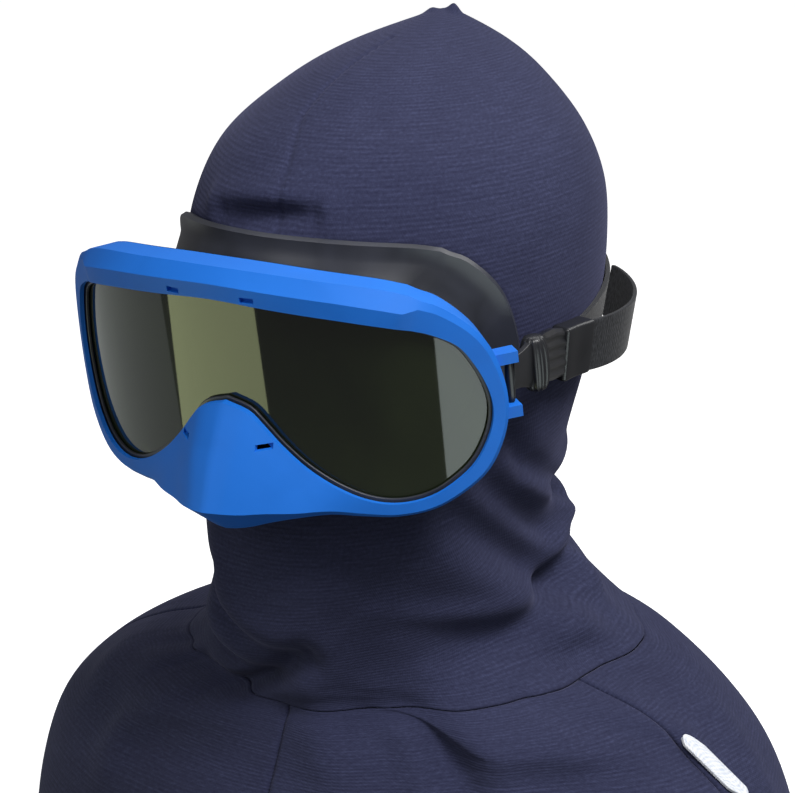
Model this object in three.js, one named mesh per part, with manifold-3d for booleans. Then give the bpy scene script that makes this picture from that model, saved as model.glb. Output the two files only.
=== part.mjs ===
// Knitted arc flash hood with a shoulder bib, and the goggles that are worn over its eye opening.
// Millimetres, +Z up, the face looks to -Y, the wearer's left is +X.
// The origin is where the inside of the crown rests on the head.
import * as THREE from 'three';
import { mergeVertices } from 'three/addons/utils/BufferGeometryUtils.js';
import Module from 'manifold-3d';

const wasm = await Module();
wasm.setup();

// Hood sizes
const HEAD_WIDTH = 155;
const HEAD_LENGTH = 188;
const HEAD_DROP = 200;
const NECK_WIDTH = 124;
const NECK_LENGTH = 178;
const SHOULDER_WIDTH = 342;
const BIB_LENGTH = 224;
const BIB_DROP = 132;
const CLOTH = 2.4;
const SEAM_GAP = 0.3;
const EYE_WIDTH = 118;
const EYE_HEIGHT = 62;
const EYE_RISE = 9;
const EYE_SEGMENTS = 6;

// Goggle sizes
const GOGGLE_DROP = 90.5;
const GOGGLE_AXIS_BACK = 10.6;
const GOGGLE_PITCH = 10;
const LENS_RADIUS = 126;
const LENS_WIDTH = 180.6;
const LENS_HEIGHT = 82;
const LENS_THICK = 2.2;
const LENS_MARGIN = 2.2;
const FRAME_WALL = 2.2;
const FRAME_DEPTH = 9;
const GASKET_THICK = 1.2;
const GASKET_LIP = 1.3;
const FIT = 0.3;
const SEAL_WALL = 2.2;
const FLANGE_WIDTH = 15;
const STRAP_WIDTH = 20.5;
const STRAP_THICK = 1.6;
const STRAP_CLEAR = 0.8;
const CLIP_THICK = 5;
const LUG_THICK = 4.5;
const LUG_LENGTH = 5;
const LUG_ROOT = 4;
const LABEL_WIDTH = 10;
const LABEL_LENGTH = 20;
const LABEL_THICK = 0.8;
const LABEL_LAY = 1.2;
const LABEL_SLANT = 2;

const rad = THREE.MathUtils.degToRad;

// Cross-sections of the head and neck, crown first. drop is a share of HEAD_DROP, width and length
// are shares of the head's sizes, shift moves the section back as a share of HEAD_LENGTH, and tilt
// lowers its front, in degrees.
const HEAD_SECTIONS = [
  { drop: -0.052, shift: 0.215, tilt: 0, width: 0.00, front: 0.000, back: 0.000 },
  { drop: -0.040, shift: 0.205, tilt: 0, width: 0.10, front: 0.070, back: 0.060 },
  { drop: 0.010, shift: 0.165, tilt: 0, width: 0.40, front: 0.260, back: 0.180 },
  { drop: 0.070, shift: 0.130, tilt: 0, width: 0.63, front: 0.375, back: 0.275 },
  { drop: 0.160, shift: 0.100, tilt: 0, width: 0.86, front: 0.490, back: 0.360 },
  { drop: 0.270, shift: 0.080, tilt: 2, width: 0.98, front: 0.545, back: 0.425 },
  { drop: 0.390, shift: 0.060, tilt: 4, width: 1.01, front: 0.540, back: 0.460 },
  { drop: 0.520, shift: 0.040, tilt: 6, width: 0.99, front: 0.520, back: 0.480 },
  { drop: 0.660, shift: 0.020, tilt: 8, width: 0.94, front: 0.485, back: 0.460 },
  { drop: 0.800, shift: 0.005, tilt: 8, width: 0.86, front: 0.480, back: 0.430 },
];
// Cross-sections of the neck tube, as shares of the neck's sizes, with drop still of HEAD_DROP.
const NECK_SECTIONS = [
  { drop: 0.930, shift: -0.005, tilt: 7, width: 0.99, front: 0.510, back: 0.470 },
  { drop: 1.030, shift: 0.000, tilt: 8, width: 1.00, front: 0.490, back: 0.500 },
  { drop: 1.110, shift: 0.025, tilt: 8, width: 1.06, front: 0.485, back: 0.505 },
  { drop: 1.205, shift: 0.090, tilt: 3, width: 1.44, front: 0.510, back: 0.550 },
];
// Cross-sections of the bib below the collar seam. drop is a share of BIB_DROP under the neck.
const BIB_SECTIONS = [
  { drop: 0.06, shift: 0.088, tilt: 3, width: 0.680, front: 0.425, back: 0.450 },
  { drop: 0.17, shift: 0.090, tilt: 3, width: 0.820, front: 0.460, back: 0.465 },
  { drop: 0.31, shift: 0.090, tilt: 3, width: 0.920, front: 0.500, back: 0.480 },
  { drop: 0.52, shift: 0.095, tilt: 3, width: 0.980, front: 0.525, back: 0.495 },
  { drop: 0.76, shift: 0.100, tilt: 3, width: 1.005, front: 0.540, back: 0.500 },
  { drop: 1.00, shift: 0.100, tilt: 4, width: 1.000, front: 0.540, back: 0.505 },
];

// Folds of the worn cloth. around is the place from the front centre in degrees toward the wearer's
// left, down is the place as a share of HEAD_DROP, span and height are half sizes in the same units,
// slope lowers the fold by a share of HEAD_DROP for each 90 degrees, and depth is a share of
// NECK_WIDTH, with a minus for a crease.
const FOLDS = [
  { name: 'nape roll', around: 150, down: 0.86, span: 60, height: 0.035, slope: 0.02, depth: 0.030 },
  { name: 'nape crease', around: 150, down: 0.93, span: 62, height: 0.030, slope: 0.02, depth: -0.045 },
  { name: 'neck roll', around: 130, down: 1.00, span: 60, height: 0.035, slope: -0.10, depth: 0.040 },
  { name: 'neck crease', around: 118, down: 1.06, span: 55, height: 0.028, slope: -0.08, depth: -0.045 },
  { name: 'collar roll', around: 105, down: 1.13, span: 60, height: 0.035, slope: -0.06, depth: 0.045 },
  { name: 'throat crease', around: -35, down: 1.12, span: 45, height: 0.030, slope: 0.03, depth: -0.050 },
  { name: 'throat roll', around: -30, down: 1.05, span: 50, height: 0.035, slope: 0.02, depth: 0.035 },
  { name: 'chin crease', around: -70, down: 0.97, span: 40, height: 0.030, slope: -0.05, depth: -0.030 },
  { name: 'cheek ridge', around: 62, down: 1.02, span: 35, height: 0.030, slope: 0.16, depth: 0.030 },
  { name: 'forehead roll', around: 0, down: 0.44, span: 26, height: 0.028, slope: 0.00, depth: 0.030 },
];
// Folds of the bib. down is a share of BIB_DROP below the collar, depth a share of NECK_WIDTH.
const BIB_FOLDS = [
  { name: 'front valley', around: 42, down: 0.30, span: 40, height: 0.10, slope: 0.30, depth: -0.045 },
  { name: 'front swag', around: 55, down: 0.55, span: 45, height: 0.12, slope: 0.15, depth: 0.050 },
  { name: 'shoulder swag', around: 80, down: 0.28, span: 30, height: 0.08, slope: 0.30, depth: 0.035 },
  { name: 'right valley', around: -35, down: 0.20, span: 35, height: 0.09, slope: -0.20, depth: -0.040 },
  { name: 'back swag', around: 180, down: 0.35, span: 60, height: 0.12, slope: 0.00, depth: 0.035 },
];

// A smooth value between the rows of a table, at place t from 0 to 1 along it.
function column(rows, key, t) {
  const at = Math.min(Math.max(t, 0), 1) * (rows.length - 1);
  const i = Math.min(Math.floor(at), rows.length - 2);
  const f = at - i;
  const [a, b] = [rows[i][key], rows[i + 1][key]];
  const before = i > 0 ? rows[i - 1][key] : a;
  const after = i < rows.length - 2 ? rows[i + 2][key] : b;
  const [m0, m1] = [(b - before) / 2, (after - a) / 2];
  return (2 * a - 2 * b + m0 + m1) * f ** 3 + (3 * b - 3 * a - 2 * m0 - m1) * f ** 2 + m0 * f + a;
}

// The same rows in millimetres, so that head and neck run on as one surface.
function sized(rows, width, length, drop, from = 0) {
  return rows.map((row) => ({
    down: from + row.drop * drop, shift: row.shift * HEAD_LENGTH, tilt: row.tilt,
    half: row.width * width / 2, front: row.front * length, back: row.back * length,
  }));
}
const headRows = [
  ...sized(HEAD_SECTIONS, HEAD_WIDTH, HEAD_LENGTH, HEAD_DROP),
  ...sized(NECK_SECTIONS, NECK_WIDTH, NECK_LENGTH, HEAD_DROP),
];
const COLLAR_DROP = headRows.at(-1).down;
const hoodRows = [
  ...headRows,
  ...sized(BIB_SECTIONS, SHOULDER_WIDTH, BIB_LENGTH, BIB_DROP, COLLAR_DROP),
];
const COLLAR = (headRows.length - 1) / (hoodRows.length - 1);

// How far the folds push the surface out at one place.
function foldAt(folds, around, level) {
  return folds.reduce((sum, fold) => {
    const turn = ((around - fold.around + 540) % 360) - 180;
    const across = turn / fold.span;
    if (Math.abs(across) >= 1) return sum;
    const off = (level - fold.down - fold.slope * turn / 90) / fold.height;
    return sum + fold.depth * NECK_WIDTH * Math.cos(across * Math.PI / 2) ** 2 * Math.exp(-off * off);
  }, 0);
}

// A point of the cloth's outer face: around in degrees from the front centre, t from 0 to 1 down it.
function hoodPoint(around, t) {
  const row = {};
  for (const key of Object.keys(hoodRows[0])) row[key] = column(hoodRows, key, t);
  const [s, c] = [Math.sin(rad(around)), Math.cos(rad(around))];
  const bulge = foldAt(FOLDS, around, row.down / HEAD_DROP)
    + foldAt(BIB_FOLDS, around, (row.down - COLLAR_DROP) / BIB_DROP);
  const grow = Math.min(1, row.half / (HEAD_WIDTH / 4)) * bulge;
  const across = (Math.max(row.half, 0) + grow) * s;
  const ahead = (Math.max(c > 0 ? row.front : row.back, 0) + grow) * c;
  const tilt = rad(row.tilt);
  return new THREE.Vector3(across, row.shift - ahead * Math.cos(tilt), -row.down - ahead * Math.sin(tilt));
}

// The surface moved along its own normal, out with a plus and in with a minus.
const SLOPE_TURN = 1.5;
const SLOPE_STEP = 0.004;
const POLE = 0.002;
function offsetPoint(surface, around, t, by) {
  const [t0, t1] = [Math.max(t - SLOPE_STEP, POLE), Math.min(Math.max(t, POLE) + SLOPE_STEP, 1)];
  const along = surface(around + SLOPE_TURN, t).sub(surface(around - SLOPE_TURN, t));
  const down = surface(around, t1).sub(surface(around, t0));
  const normal = down.cross(along).normalize();
  if (t < POLE) normal.set(0, 0, 1);
  return surface(around, t).addScaledVector(normal, by);
}

function geometry(points, faces) {
  const made = new THREE.BufferGeometry();
  made.setAttribute('position', new THREE.Float32BufferAttribute(points.flatMap((p) => [p.x, p.y, p.z]), 3));
  made.setIndex(faces.flat());
  return made;
}

// A closed slab of cloth: a grid of the outer face, one of the inner face, and the edges between.
// A whole turn joins its first and last columns, and a surface that starts at a pole closes there.
function clothSlab(surface, turns, from, to, columns, rows, whole = false, pole = false) {
  const [points, faces] = [[], []];
  const across = whole ? columns : columns + 1;
  const place = (i, j) => [turns[0] + (turns[1] - turns[0]) * i / columns, from + (to - from) * j / rows];
  const side = (by) => {
    const base = points.length;
    for (let j = 0; j <= rows; j++) {
      for (let i = 0; i < across; i++) points.push(offsetPoint(surface, ...place(i, j), by));
    }
    return (i, j) => base + (pole && j === 0 ? 0 : j * across + (i % across));
  };
  const [outer, inner] = [side(0), side(-CLOTH)];
  const quad = (a, b, c, d) => {
    if (a !== b && b !== c && c !== a) faces.push([a, b, c]);
    if (a !== c && c !== d && d !== a) faces.push([a, c, d]);
  };
  for (let j = 0; j < rows; j++) {
    for (let i = 0; i < columns; i++) {
      quad(outer(i, j), outer(i, j + 1), outer(i + 1, j + 1), outer(i + 1, j));
      quad(inner(i, j), inner(i + 1, j), inner(i + 1, j + 1), inner(i, j + 1));
    }
  }
  for (let i = 0; i < columns; i++) {
    quad(outer(i, rows), inner(i, rows), inner(i + 1, rows), outer(i + 1, rows));
    if (!pole) quad(outer(i + 1, 0), inner(i + 1, 0), inner(i, 0), outer(i, 0));
  }
  if (!whole) {
    for (let j = 0; j < rows; j++) {
      quad(outer(0, j), inner(0, j), inner(0, j + 1), outer(0, j + 1));
      quad(outer(columns, j + 1), inner(columns, j + 1), inner(columns, j), outer(columns, j));
    }
  }
  return geometry(points, faces);
}

// The lens opening and the frame's rim round it, from the top centre down the wearer's left side to
// the nose. Places are shares of half the lens's arc (across) and half its height (up). proud is how
// far three lines of the front stand ahead of the lens, as shares of LENS_RADIUS: at the opening, at
// the crease and at the rim. crease is where the crease lies between opening and rim.
const RING_COLUMNS = ['openAcross', 'openUp', 'rimAcross', 'rimUp', 'open', 'fold', 'rim', 'crease'];
const RING = [
  // Visor bar
  [0, 1.02, 0, 1.29, 0.048, 0.050, 0.008, 0.55],
  [0.218, 0.976, 0.21, 1.27, 0.048, 0.050, 0.008, 0.55],
  [0.445, 0.895, 0.44, 1.20, 0.048, 0.050, 0.008, 0.55],
  // End of the bar
  [0.60, 0.815, 0.62, 1.12, 0.048, 0.050, 0.010, 0.52],
  [0.68, 0.765, 0.735, 1.04, 0.046, 0.050, 0.016, 0.52],
  // Side
  [0.735, 0.72, 0.775, 0.985, 0.034, 0.036, 0.022, 0.75],
  [0.80, 0.656, 0.85, 0.89, 0.030, 0.032, 0.022, 0.75],
  [0.889, 0.52, 0.945, 0.68, 0.030, 0.032, 0.022, 0.75],
  [0.943, 0.32, 1.01, 0.45, 0.030, 0.032, 0.022, 0.75],
  [0.985, 0.076, 1.05, 0.14, 0.030, 0.032, 0.022, 0.75],
  [1.00, -0.151, 1.06, -0.16, 0.030, 0.032, 0.022, 0.75],
  // Cheek
  [0.98, -0.388, 1.035, -0.45, 0.030, 0.032, 0.022, 0.75],
  [0.921, -0.641, 0.97, -0.74, 0.030, 0.032, 0.022, 0.75],
  [0.84, -0.81, 0.87, -0.93, 0.030, 0.032, 0.022, 0.75],
  [0.745, -0.929, 0.755, -1.06, 0.030, 0.032, 0.022, 0.75],
  [0.631, -0.973, 0.625, -1.105, 0.030, 0.032, 0.022, 0.75],
  [0.522, -0.929, 0.50, -1.085, 0.030, 0.034, 0.024, 0.75],
  // Nose bridge
  [0.413, -0.805, 0.38, -1.06, 0.030, 0.052, 0.030, 0.74],
  [0.306, -0.622, 0.26, -1.09, 0.032, 0.095, 0.045, 0.74],
  [0.216, -0.407, 0.165, -1.13, 0.034, 0.130, 0.062, 0.74],
  [0.155, -0.232, 0.095, -1.17, 0.036, 0.165, 0.080, 0.74],
  [0.095, -0.085, 0.045, -1.19, 0.038, 0.190, 0.090, 0.74],
  [0, -0.01, 0, -1.20, 0.040, 0.205, 0.095, 0.74],
].map((row) => Object.fromEntries(RING_COLUMNS.map((key, i) => [key, row[i]])));
const lensArc = LENS_RADIUS * Math.asin(LENS_WIDTH / 2 / LENS_RADIUS);
const lensUp = LENS_HEIGHT / 2;
const gasketTop = FIT + GASKET_THICK + 2 * FIT;
// The frame's wall as a share of a station's length, at most this much of it.
const WALL_MOST = 0.45;
const wallShare = (station) => Math.min(FRAME_WALL / station.length, WALL_MOST);
// How much of the way to its crease the front has risen at half of it, and the wall at its inner bend.
const BROW_RISE = 0.58;
const WALL_BEND = 1.4;
const SEAL_BEND = 1.2;

// A point of the goggles: millimetres of arc across, up, and ahead of the lens.
function onLens(across, up, proud) {
  const turn = across / LENS_RADIUS;
  const r = LENS_RADIUS + proud;
  return new THREE.Vector3(r * Math.sin(turn), -r * Math.cos(turn), up);
}

// The ring's stations in millimetres, all the way round, with the right side mirrored.
const stations = [
  ...RING.map((row) => ({ ...row, side: 1 })),
  ...RING.slice(1, -1).reverse().map((row) => ({ ...row, side: -1 })),
].map((row) => {
  const open = [row.side * row.openAcross * lensArc, row.openUp * lensUp];
  const rim = [row.side * row.rimAcross * lensArc, row.rimUp * lensUp];
  const length = Math.hypot(rim[0] - open[0], rim[1] - open[1]);
  return { ...row, openAt: open, rimAt: rim, length };
});
// A point of a station: share from the opening to the rim, or beyond them, and millimetres ahead.
function atStation(station, share, proud) {
  const [a, b] = [station.openAt, station.rimAt];
  return onLens(a[0] + (b[0] - a[0]) * share, a[1] + (b[1] - a[1]) * share, proud);
}

// Closed sections joined in a row, either round to the first again or capped at both ends.
function loft(sections, round) {
  const n = sections[0].length;
  const points = sections.flat();
  const faces = [];
  const last = round ? sections.length : sections.length - 1;
  for (let i = 0; i < last; i++) {
    const [a, b] = [i * n, ((i + 1) % sections.length) * n];
    for (let k = 0; k < n; k++) {
      const m = (k + 1) % n;
      faces.push([a + k, b + k, b + m], [a + k, b + m, a + m]);
    }
  }
  if (!round) {
    const end = (sections.length - 1) * n;
    for (let k = 1; k < n - 1; k++) faces.push([0, k, k + 1], [end, end + k + 1, end + k]);
  }
  const volume = faces.reduce((sum, [a, b, c]) => (
    sum + points[a].dot(new THREE.Vector3().crossVectors(points[b], points[c]))
  ), 0);
  return geometry(points, volume < 0 ? faces.map((face) => [...face].reverse()) : faces);
}

function toSolid(made) {
  const merged = mergeVertices(made, 1e-3);
  const position = merged.getAttribute('position');
  return new wasm.Manifold(new wasm.Mesh({
    numProp: 3, vertProperties: new Float32Array(position.array), triVerts: new Uint32Array(merged.index.array),
  }));
}
function fromSolid(solid) {
  const mesh = solid.getMesh();
  const made = new THREE.BufferGeometry();
  made.setAttribute('position', new THREE.Float32BufferAttribute(mesh.vertProperties, 3));
  made.setIndex(new THREE.Uint32BufferAttribute(mesh.triVerts, 1));
  return made;
}

// A block on the goggles, between two arcs across, two heights and two depths ahead of the lens.
function lensBlock(across, up, proud) {
  const corners = (x) => [[up[0], proud[0]], [up[1], proud[0]], [up[1], proud[1]], [up[0], proud[1]]]
    .map(([z, ahead]) => onLens(x, z, ahead));
  return loft([corners(across[0]), corners(across[1])], false);
}

// Slots that let air in: two under the visor bar and two beside the nose, mirrored.
const SLOT_WIDTH = 5.5;
const SLOT_HEIGHT = 2.2;
const SLOTS = [
  { name: 'bar slot', across: 0.155, up: 1.045, from: 0.03 },
  { name: 'nose slot', across: 0.165, up: -0.38, from: 0.035 },
];
const SLOT_DEEP = 20;

// Lugs that hold the swivel clip's bar, above and below it, at the frame's side.
const LUG_UP = 0.27;
const LUG_DOWN = -0.26;
const LUG_ACROSS = 1.03;
const LUG_BACK = -6;
const LUG_FRONT = 0.5;

function lug(side, up, grow) {
  const from = side * (LUG_ACROSS * lensArc - grow);
  const to = from + side * (LUG_LENGTH + LUG_ROOT + 2 * grow);
  const heights = [up * lensUp - LUG_THICK / 2 - grow, up * lensUp + LUG_THICK / 2 + grow];
  return toSolid(lensBlock([from, to], heights, [LUG_BACK - grow, LUG_FRONT + grow]));
}

function goggleFrame() {
  const section = (station) => {
    const proud = (share) => share * LENS_RADIUS;
    const wall = wallShare(station);
    const middle = station.open + (station.fold - station.open) * BROW_RISE;
    const inside = (ahead) => Math.max(ahead - FRAME_WALL, gasketTop);
    return [
      atStation(station, 0, proud(station.open)),
      atStation(station, station.crease / 2, proud(middle)),
      atStation(station, station.crease, proud(station.fold)),
      atStation(station, 1, proud(station.rim)),
      atStation(station, 1, -FRAME_DEPTH),
      atStation(station, 1 - wall, -FRAME_DEPTH),
      atStation(station, 1 - wall, Math.min(gasketTop, proud(station.rim) - FRAME_WALL / 2)),
      atStation(station, Math.min(station.crease, 1 - wall * WALL_BEND), inside(proud(station.fold))),
      atStation(station, station.crease / 2, inside(proud(middle))),
      atStation(station, 0, gasketTop),
    ];
  };
  let solid = toSolid(loft(stations.map(section), true));
  for (const side of [-1, 1]) {
    for (const up of [LUG_UP, LUG_DOWN]) {
      solid = solid.add(lug(side, up, 0));
    }
    for (const slot of SLOTS) {
      const at = side * slot.across * lensArc;
      const heights = [slot.up * lensUp - SLOT_HEIGHT / 2, slot.up * lensUp + SLOT_HEIGHT / 2];
      const ahead = [slot.from * LENS_RADIUS, slot.from * LENS_RADIUS + SLOT_DEEP];
      solid = solid.subtract(toSolid(lensBlock([at - SLOT_WIDTH / 2, at + SLOT_WIDTH / 2], heights, ahead)));
    }
  }
  return fromSolid(solid);
}

// The lens is bent one way only, so it is a row of upright strips between its top and bottom edges.
function lensSlab(margin = LENS_MARGIN, front = 0) {
  const half = stations.slice(0, RING.length).map((station) => {
    const grow = margin / station.length;
    const [a, b] = [station.openAt, station.rimAt];
    return [a[0] + (b[0] - a[0]) * grow, a[1] + (b[1] - a[1]) * grow];
  });
  half[0][0] = 0;
  half.at(-1)[0] = 0;
  const widest = half.reduce((best, point, i) => (point[0] > half[best][0] ? i : best), 0);
  const edges = [half.slice(0, widest + 1), half.slice(widest).reverse()];
  const heightAt = (edge, across) => {
    const i = Math.min(Math.max(edge.findIndex((point) => point[0] > across), 1), edge.length - 1);
    const [a, b] = [edge[i - 1], edge[i]];
    return a[1] + (b[1] - a[1]) * Math.min(Math.max((across - a[0]) / (b[0] - a[0]), 0), 1);
  };
  const end = half[widest][0] - margin / 4;
  const strips = half.map((point) => point[0]).filter((across) => across < end - 1).sort((a, b) => a - b);
  const across = [...new Set(strips.map((value) => value.toFixed(2)))].map(Number).concat(end);
  const all = [...across.slice(1).reverse().map((value) => -value), ...across];
  return loft(all.map((value) => {
    const [top, bottom] = edges.map((edge) => heightAt(edge, Math.abs(value)));
    return [
      onLens(value, top, front), onLens(value, bottom, front),
      onLens(value, bottom, -LENS_THICK), onLens(value, top, -LENS_THICK),
    ];
  }), false);
}

function lensGasket() {
  const made = loft(stations.map((station) => {
    const [inner, outer] = [-GASKET_LIP / station.length, LENS_MARGIN / station.length];
    const [low, high] = [FIT, FIT + GASKET_THICK];
    return [
      atStation(station, inner, high), atStation(station, outer, high),
      atStation(station, outer, low), atStation(station, inner, low),
    ];
  }), true);
  return fromSolid(toSolid(made).subtract(toSolid(lensSlab(LENS_MARGIN + 3 * FIT, FIT))));
}

// The goggles' own frame in the hood's, and back.
const goggles = new THREE.Group();
goggles.position.set(0, GOGGLE_AXIS_BACK, -GOGGLE_DROP);
goggles.rotation.x = rad(GOGGLE_PITCH);
goggles.updateMatrixWorld(true);

// A point of the cloth, or off it, found from a place measured in another frame: the angle round
// that frame's upright axis, in degrees, and the height in it.
const SEEK_STEPS = 24;
const SEEK_RATE = 0.8;
const SEEK_FROM = 0.4;
const SEEK_EDGE = 0.05;
function clothAt(frame, angle, up, off) {
  let [around, t] = [angle, SEEK_FROM];
  for (let i = 0; i < SEEK_STEPS; i++) {
    const p = frame.worldToLocal(hoodPoint(around, t));
    const turn = Math.atan2(p.x, -p.y) * 180 / Math.PI;
    around += SEEK_RATE * (((angle - turn + 540) % 360) - 180);
    const next = t + SEEK_RATE * (p.z - up) / (COLLAR_DROP / COLLAR);
    t = Math.min(Math.max(next, SEEK_EDGE), 1 - SEEK_EDGE);
  }
  return frame.worldToLocal(offsetPoint(hoodPoint, around, t, off));
}

// The filled form of the head or the bib, grown by a clearance, which trims what lies on the cloth.
const CLOTH_STEP = 10;
const HEAD_COLUMNS = 360 / CLOTH_STEP;
const HEAD_ROWS = 36;
const BIB_ROWS = 12;
function clothForm(by, from, to, rows) {
  const [points, faces] = [[], []];
  for (let j = 0; j <= rows; j++) {
    for (let i = 0; i < HEAD_COLUMNS; i++) {
      points.push(offsetPoint(hoodPoint, CLOTH_STEP * i, from + (to - from) * j / rows, by));
    }
  }
  const pole = from === 0;
  const at = (i, j) => (pole && j === 0 ? 0 : j * HEAD_COLUMNS + (i % HEAD_COLUMNS));
  for (let j = 0; j < rows; j++) {
    for (let i = 0; i < HEAD_COLUMNS; i++) {
      if (!pole || j > 0) faces.push([at(i, j), at(i + 1, j + 1), at(i + 1, j)]);
      faces.push([at(i, j), at(i, j + 1), at(i + 1, j + 1)]);
    }
  }
  for (let i = 1; i < HEAD_COLUMNS - 1; i++) {
    faces.push([at(0, rows), at(i + 1, rows), at(i, rows)]);
    if (!pole) faces.push([at(0, 0), at(i, 0), at(i + 1, 0)]);
  }
  return toSolid(geometry(points, faces));
}
const clearOfHead = clothForm(FIT, 0, COLLAR, HEAD_ROWS);
// The same form in the goggles' own frame.
const toGoggles = [...goggles.matrixWorld.clone().invert().elements];
const clearOfHeadFromGoggles = clearOfHead.transform(toGoggles);

// The flange lies on the cloth outside the frame's rim. Its outer edge turns FLANGE_TURN times as far
// round the head as the rim and stands FLANGE_RISE above it, or below with a minus. Its lowest edge
// stays at FLANGE_LOW, a share of half the lens's height.
const FLANGE_TURN = 1.29;
const FLANGE_RISE = -1.5;
const FLANGE_LOW = -0.98;
const FLANGE_STAND = 5;
function faceSeal() {
  const rimTurn = (station) => station.rimAt[0] / LENS_RADIUS * 180 / Math.PI;
  const made = loft(stations.map((station) => {
    const wall = wallShare(station);
    const turn = rimTurn(station) * FLANGE_TURN;
    const up = Math.max(station.rimAt[1] + (station.rimAt[1] > 0 ? FLANGE_RISE : 0), FLANGE_LOW * lensUp);
    const reach = Math.hypot(up, turn / 180 * Math.PI * LENS_RADIUS / 2);
    const inward = 1 - FLANGE_WIDTH / reach;
    const back = -FRAME_DEPTH - FIT;
    const rimUp = Math.max(station.rimAt[1], FLANGE_LOW * lensUp - FRAME_WALL);
    const front = (share) => {
      const p = atStation(station, share, back);
      p.z = Math.max(p.z, rimUp);
      return p;
    };
    return [
      front(1), clothAt(goggles, turn * inward, up * inward, FLANGE_STAND),
      clothAt(goggles, turn, up, FIT + SEAL_WALL), clothAt(goggles, turn, up, 0),
      clothAt(goggles, turn * inward, up * inward, 0), front(1 - wall * SEAL_BEND),
    ];
  }), true);
  return fromSolid(toSolid(made).subtract(clearOfHeadFromGoggles));
}

// The collar seam's gap on each side, as a step of t, with a share a little over half for the places
// where the cloth slopes.
const collarStep = 0.01;
const collarSpan = Math.min(...Array.from({ length: HEAD_COLUMNS }, (_, i) => (
  hoodPoint(i * CLOTH_STEP, COLLAR - collarStep).distanceTo(hoodPoint(i * CLOTH_STEP, COLLAR + collarStep))
)));
const COLLAR_SHARE = 0.6;
const collarGap = COLLAR_SHARE * SEAM_GAP * 2 * collarStep / collarSpan;

// The eye opening is an upright rounded hole, cut level with the goggles through the front alone.
function hoodHead() {
  const hem = COLLAR - collarGap;
  const shell = toSolid(clothSlab(hoodPoint, [0, 360], 0, hem, HEAD_COLUMNS, HEAD_ROWS, true, true));
  const outline = new THREE.Shape();
  const [a, r] = [EYE_WIDTH / 2, EYE_HEIGHT / 2];
  outline.absarc(a - r, 0, r, -Math.PI / 2, Math.PI / 2, false);
  outline.absarc(r - a, 0, r, Math.PI / 2, Math.PI * 1.5, false);
  const cutter = new THREE.ExtrudeGeometry(outline, {
    depth: HEAD_LENGTH, bevelEnabled: false, curveSegments: EYE_SEGMENTS,
  });
  cutter.rotateX(Math.PI / 2);
  cutter.translate(0, 0, EYE_RISE);
  cutter.applyMatrix4(goggles.matrixWorld);
  cutter.deleteAttribute('normal');
  cutter.deleteAttribute('uv');
  return fromSolid(shell.subtract(toSolid(cutter)));
}

// The bib's panels meet the collar and each other at sewn seams.
const SHOULDER_SEAM = 8 * CLOTH_STEP;
function bibPanel(from, to) {
  const seam = 0.5 * SEAM_GAP / (NECK_WIDTH / 2) * 180 / Math.PI;
  const columns = Math.round((to - from) / CLOTH_STEP);
  return clothSlab(hoodPoint, [from + seam, to - seam], COLLAR + collarGap, 1, columns, BIB_ROWS);
}

// A band that lies along the cloth: from and to are degrees round the head, and at gives the height
// of its middle, its half width, and its inner and outer distance off the cloth at each place.
const level = new THREE.Group();
function band(frame, from, to, step, at) {
  const count = Math.max(2, Math.round(Math.abs(to - from) / step));
  return loft(Array.from({ length: count + 1 }, (_, i) => {
    const angle = from + (to - from) * i / count;
    const { up, half, inner, outer } = at(angle, i / count);
    return [[up + half, inner], [up + half, outer], [up - half, outer], [up - half, inner]]
      .map(([height, off]) => clothAt(frame, angle, height, off));
  }), false);
}
const trimmed = (made) => fromSolid(toSolid(made).subtract(clearOfHead));

const STRAP_DROP = 110;
const STRAP_RISE = 16;
const SLIDER_FROM = 84;
const SLIDER_TO = 98;
const STRAP_FROM = SLIDER_TO + 0.4;
const STRAP_STEP = 8;
const LOOP_STEP = 5;
const LOOP_ROUND = 0.8;
const SLIDER_STEP = 4;
const LOOP_TO = 134;
const LOOP_BOW = 11;
const LAY = 0.35;
const strapInner = STRAP_CLEAR;
const strapOuter = STRAP_CLEAR + STRAP_THICK;
// The strap rises from the clips to the back of the head, in line with the tilted goggles.
function strapUp(angle) {
  const share = (Math.abs(angle) - STRAP_FROM) / (360 - 2 * STRAP_FROM);
  return STRAP_RISE * Math.sin(Math.PI * share) - STRAP_DROP;
}
function mainStrap() {
  return trimmed(band(level, STRAP_FROM, 360 - STRAP_FROM, STRAP_STEP, (angle) => ({
    up: strapUp(angle), half: STRAP_WIDTH / 2, inner: strapInner - LAY, outer: strapOuter,
  })));
}
// The free end of the strap leaves the slider, bows out and comes back to lie on the main strap.
function strapLoop(side) {
  const low = strapOuter + LAY;
  const place = (share) => low + LOOP_BOW * Math.sin(Math.PI * share) ** LOOP_ROUND;
  return band(level, side * STRAP_FROM, side * LOOP_TO, LOOP_STEP, (angle, share) => ({
    up: strapUp(angle), half: STRAP_WIDTH / 2, inner: place(share), outer: place(share) + STRAP_THICK,
  }));
}
const SLIDER_OVER = 0.4;
const SLIDER_IN = 1.5;
const SLIDER_OUT = 10;
const SLIDER_RISE = 2;
function sliderBand(side, grow) {
  const turn = grow / (HEAD_WIDTH / 2) * 180 / Math.PI;
  return band(level, side * (SLIDER_FROM - turn), side * (SLIDER_TO + turn), SLIDER_STEP, () => ({
    up: SLIDER_RISE - STRAP_DROP, half: STRAP_WIDTH / 2 + SLIDER_OVER + grow,
    inner: SLIDER_IN - grow, outer: SLIDER_OUT + grow,
  }));
}
const slider = (side) => trimmed(sliderBand(side, 0));

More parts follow.
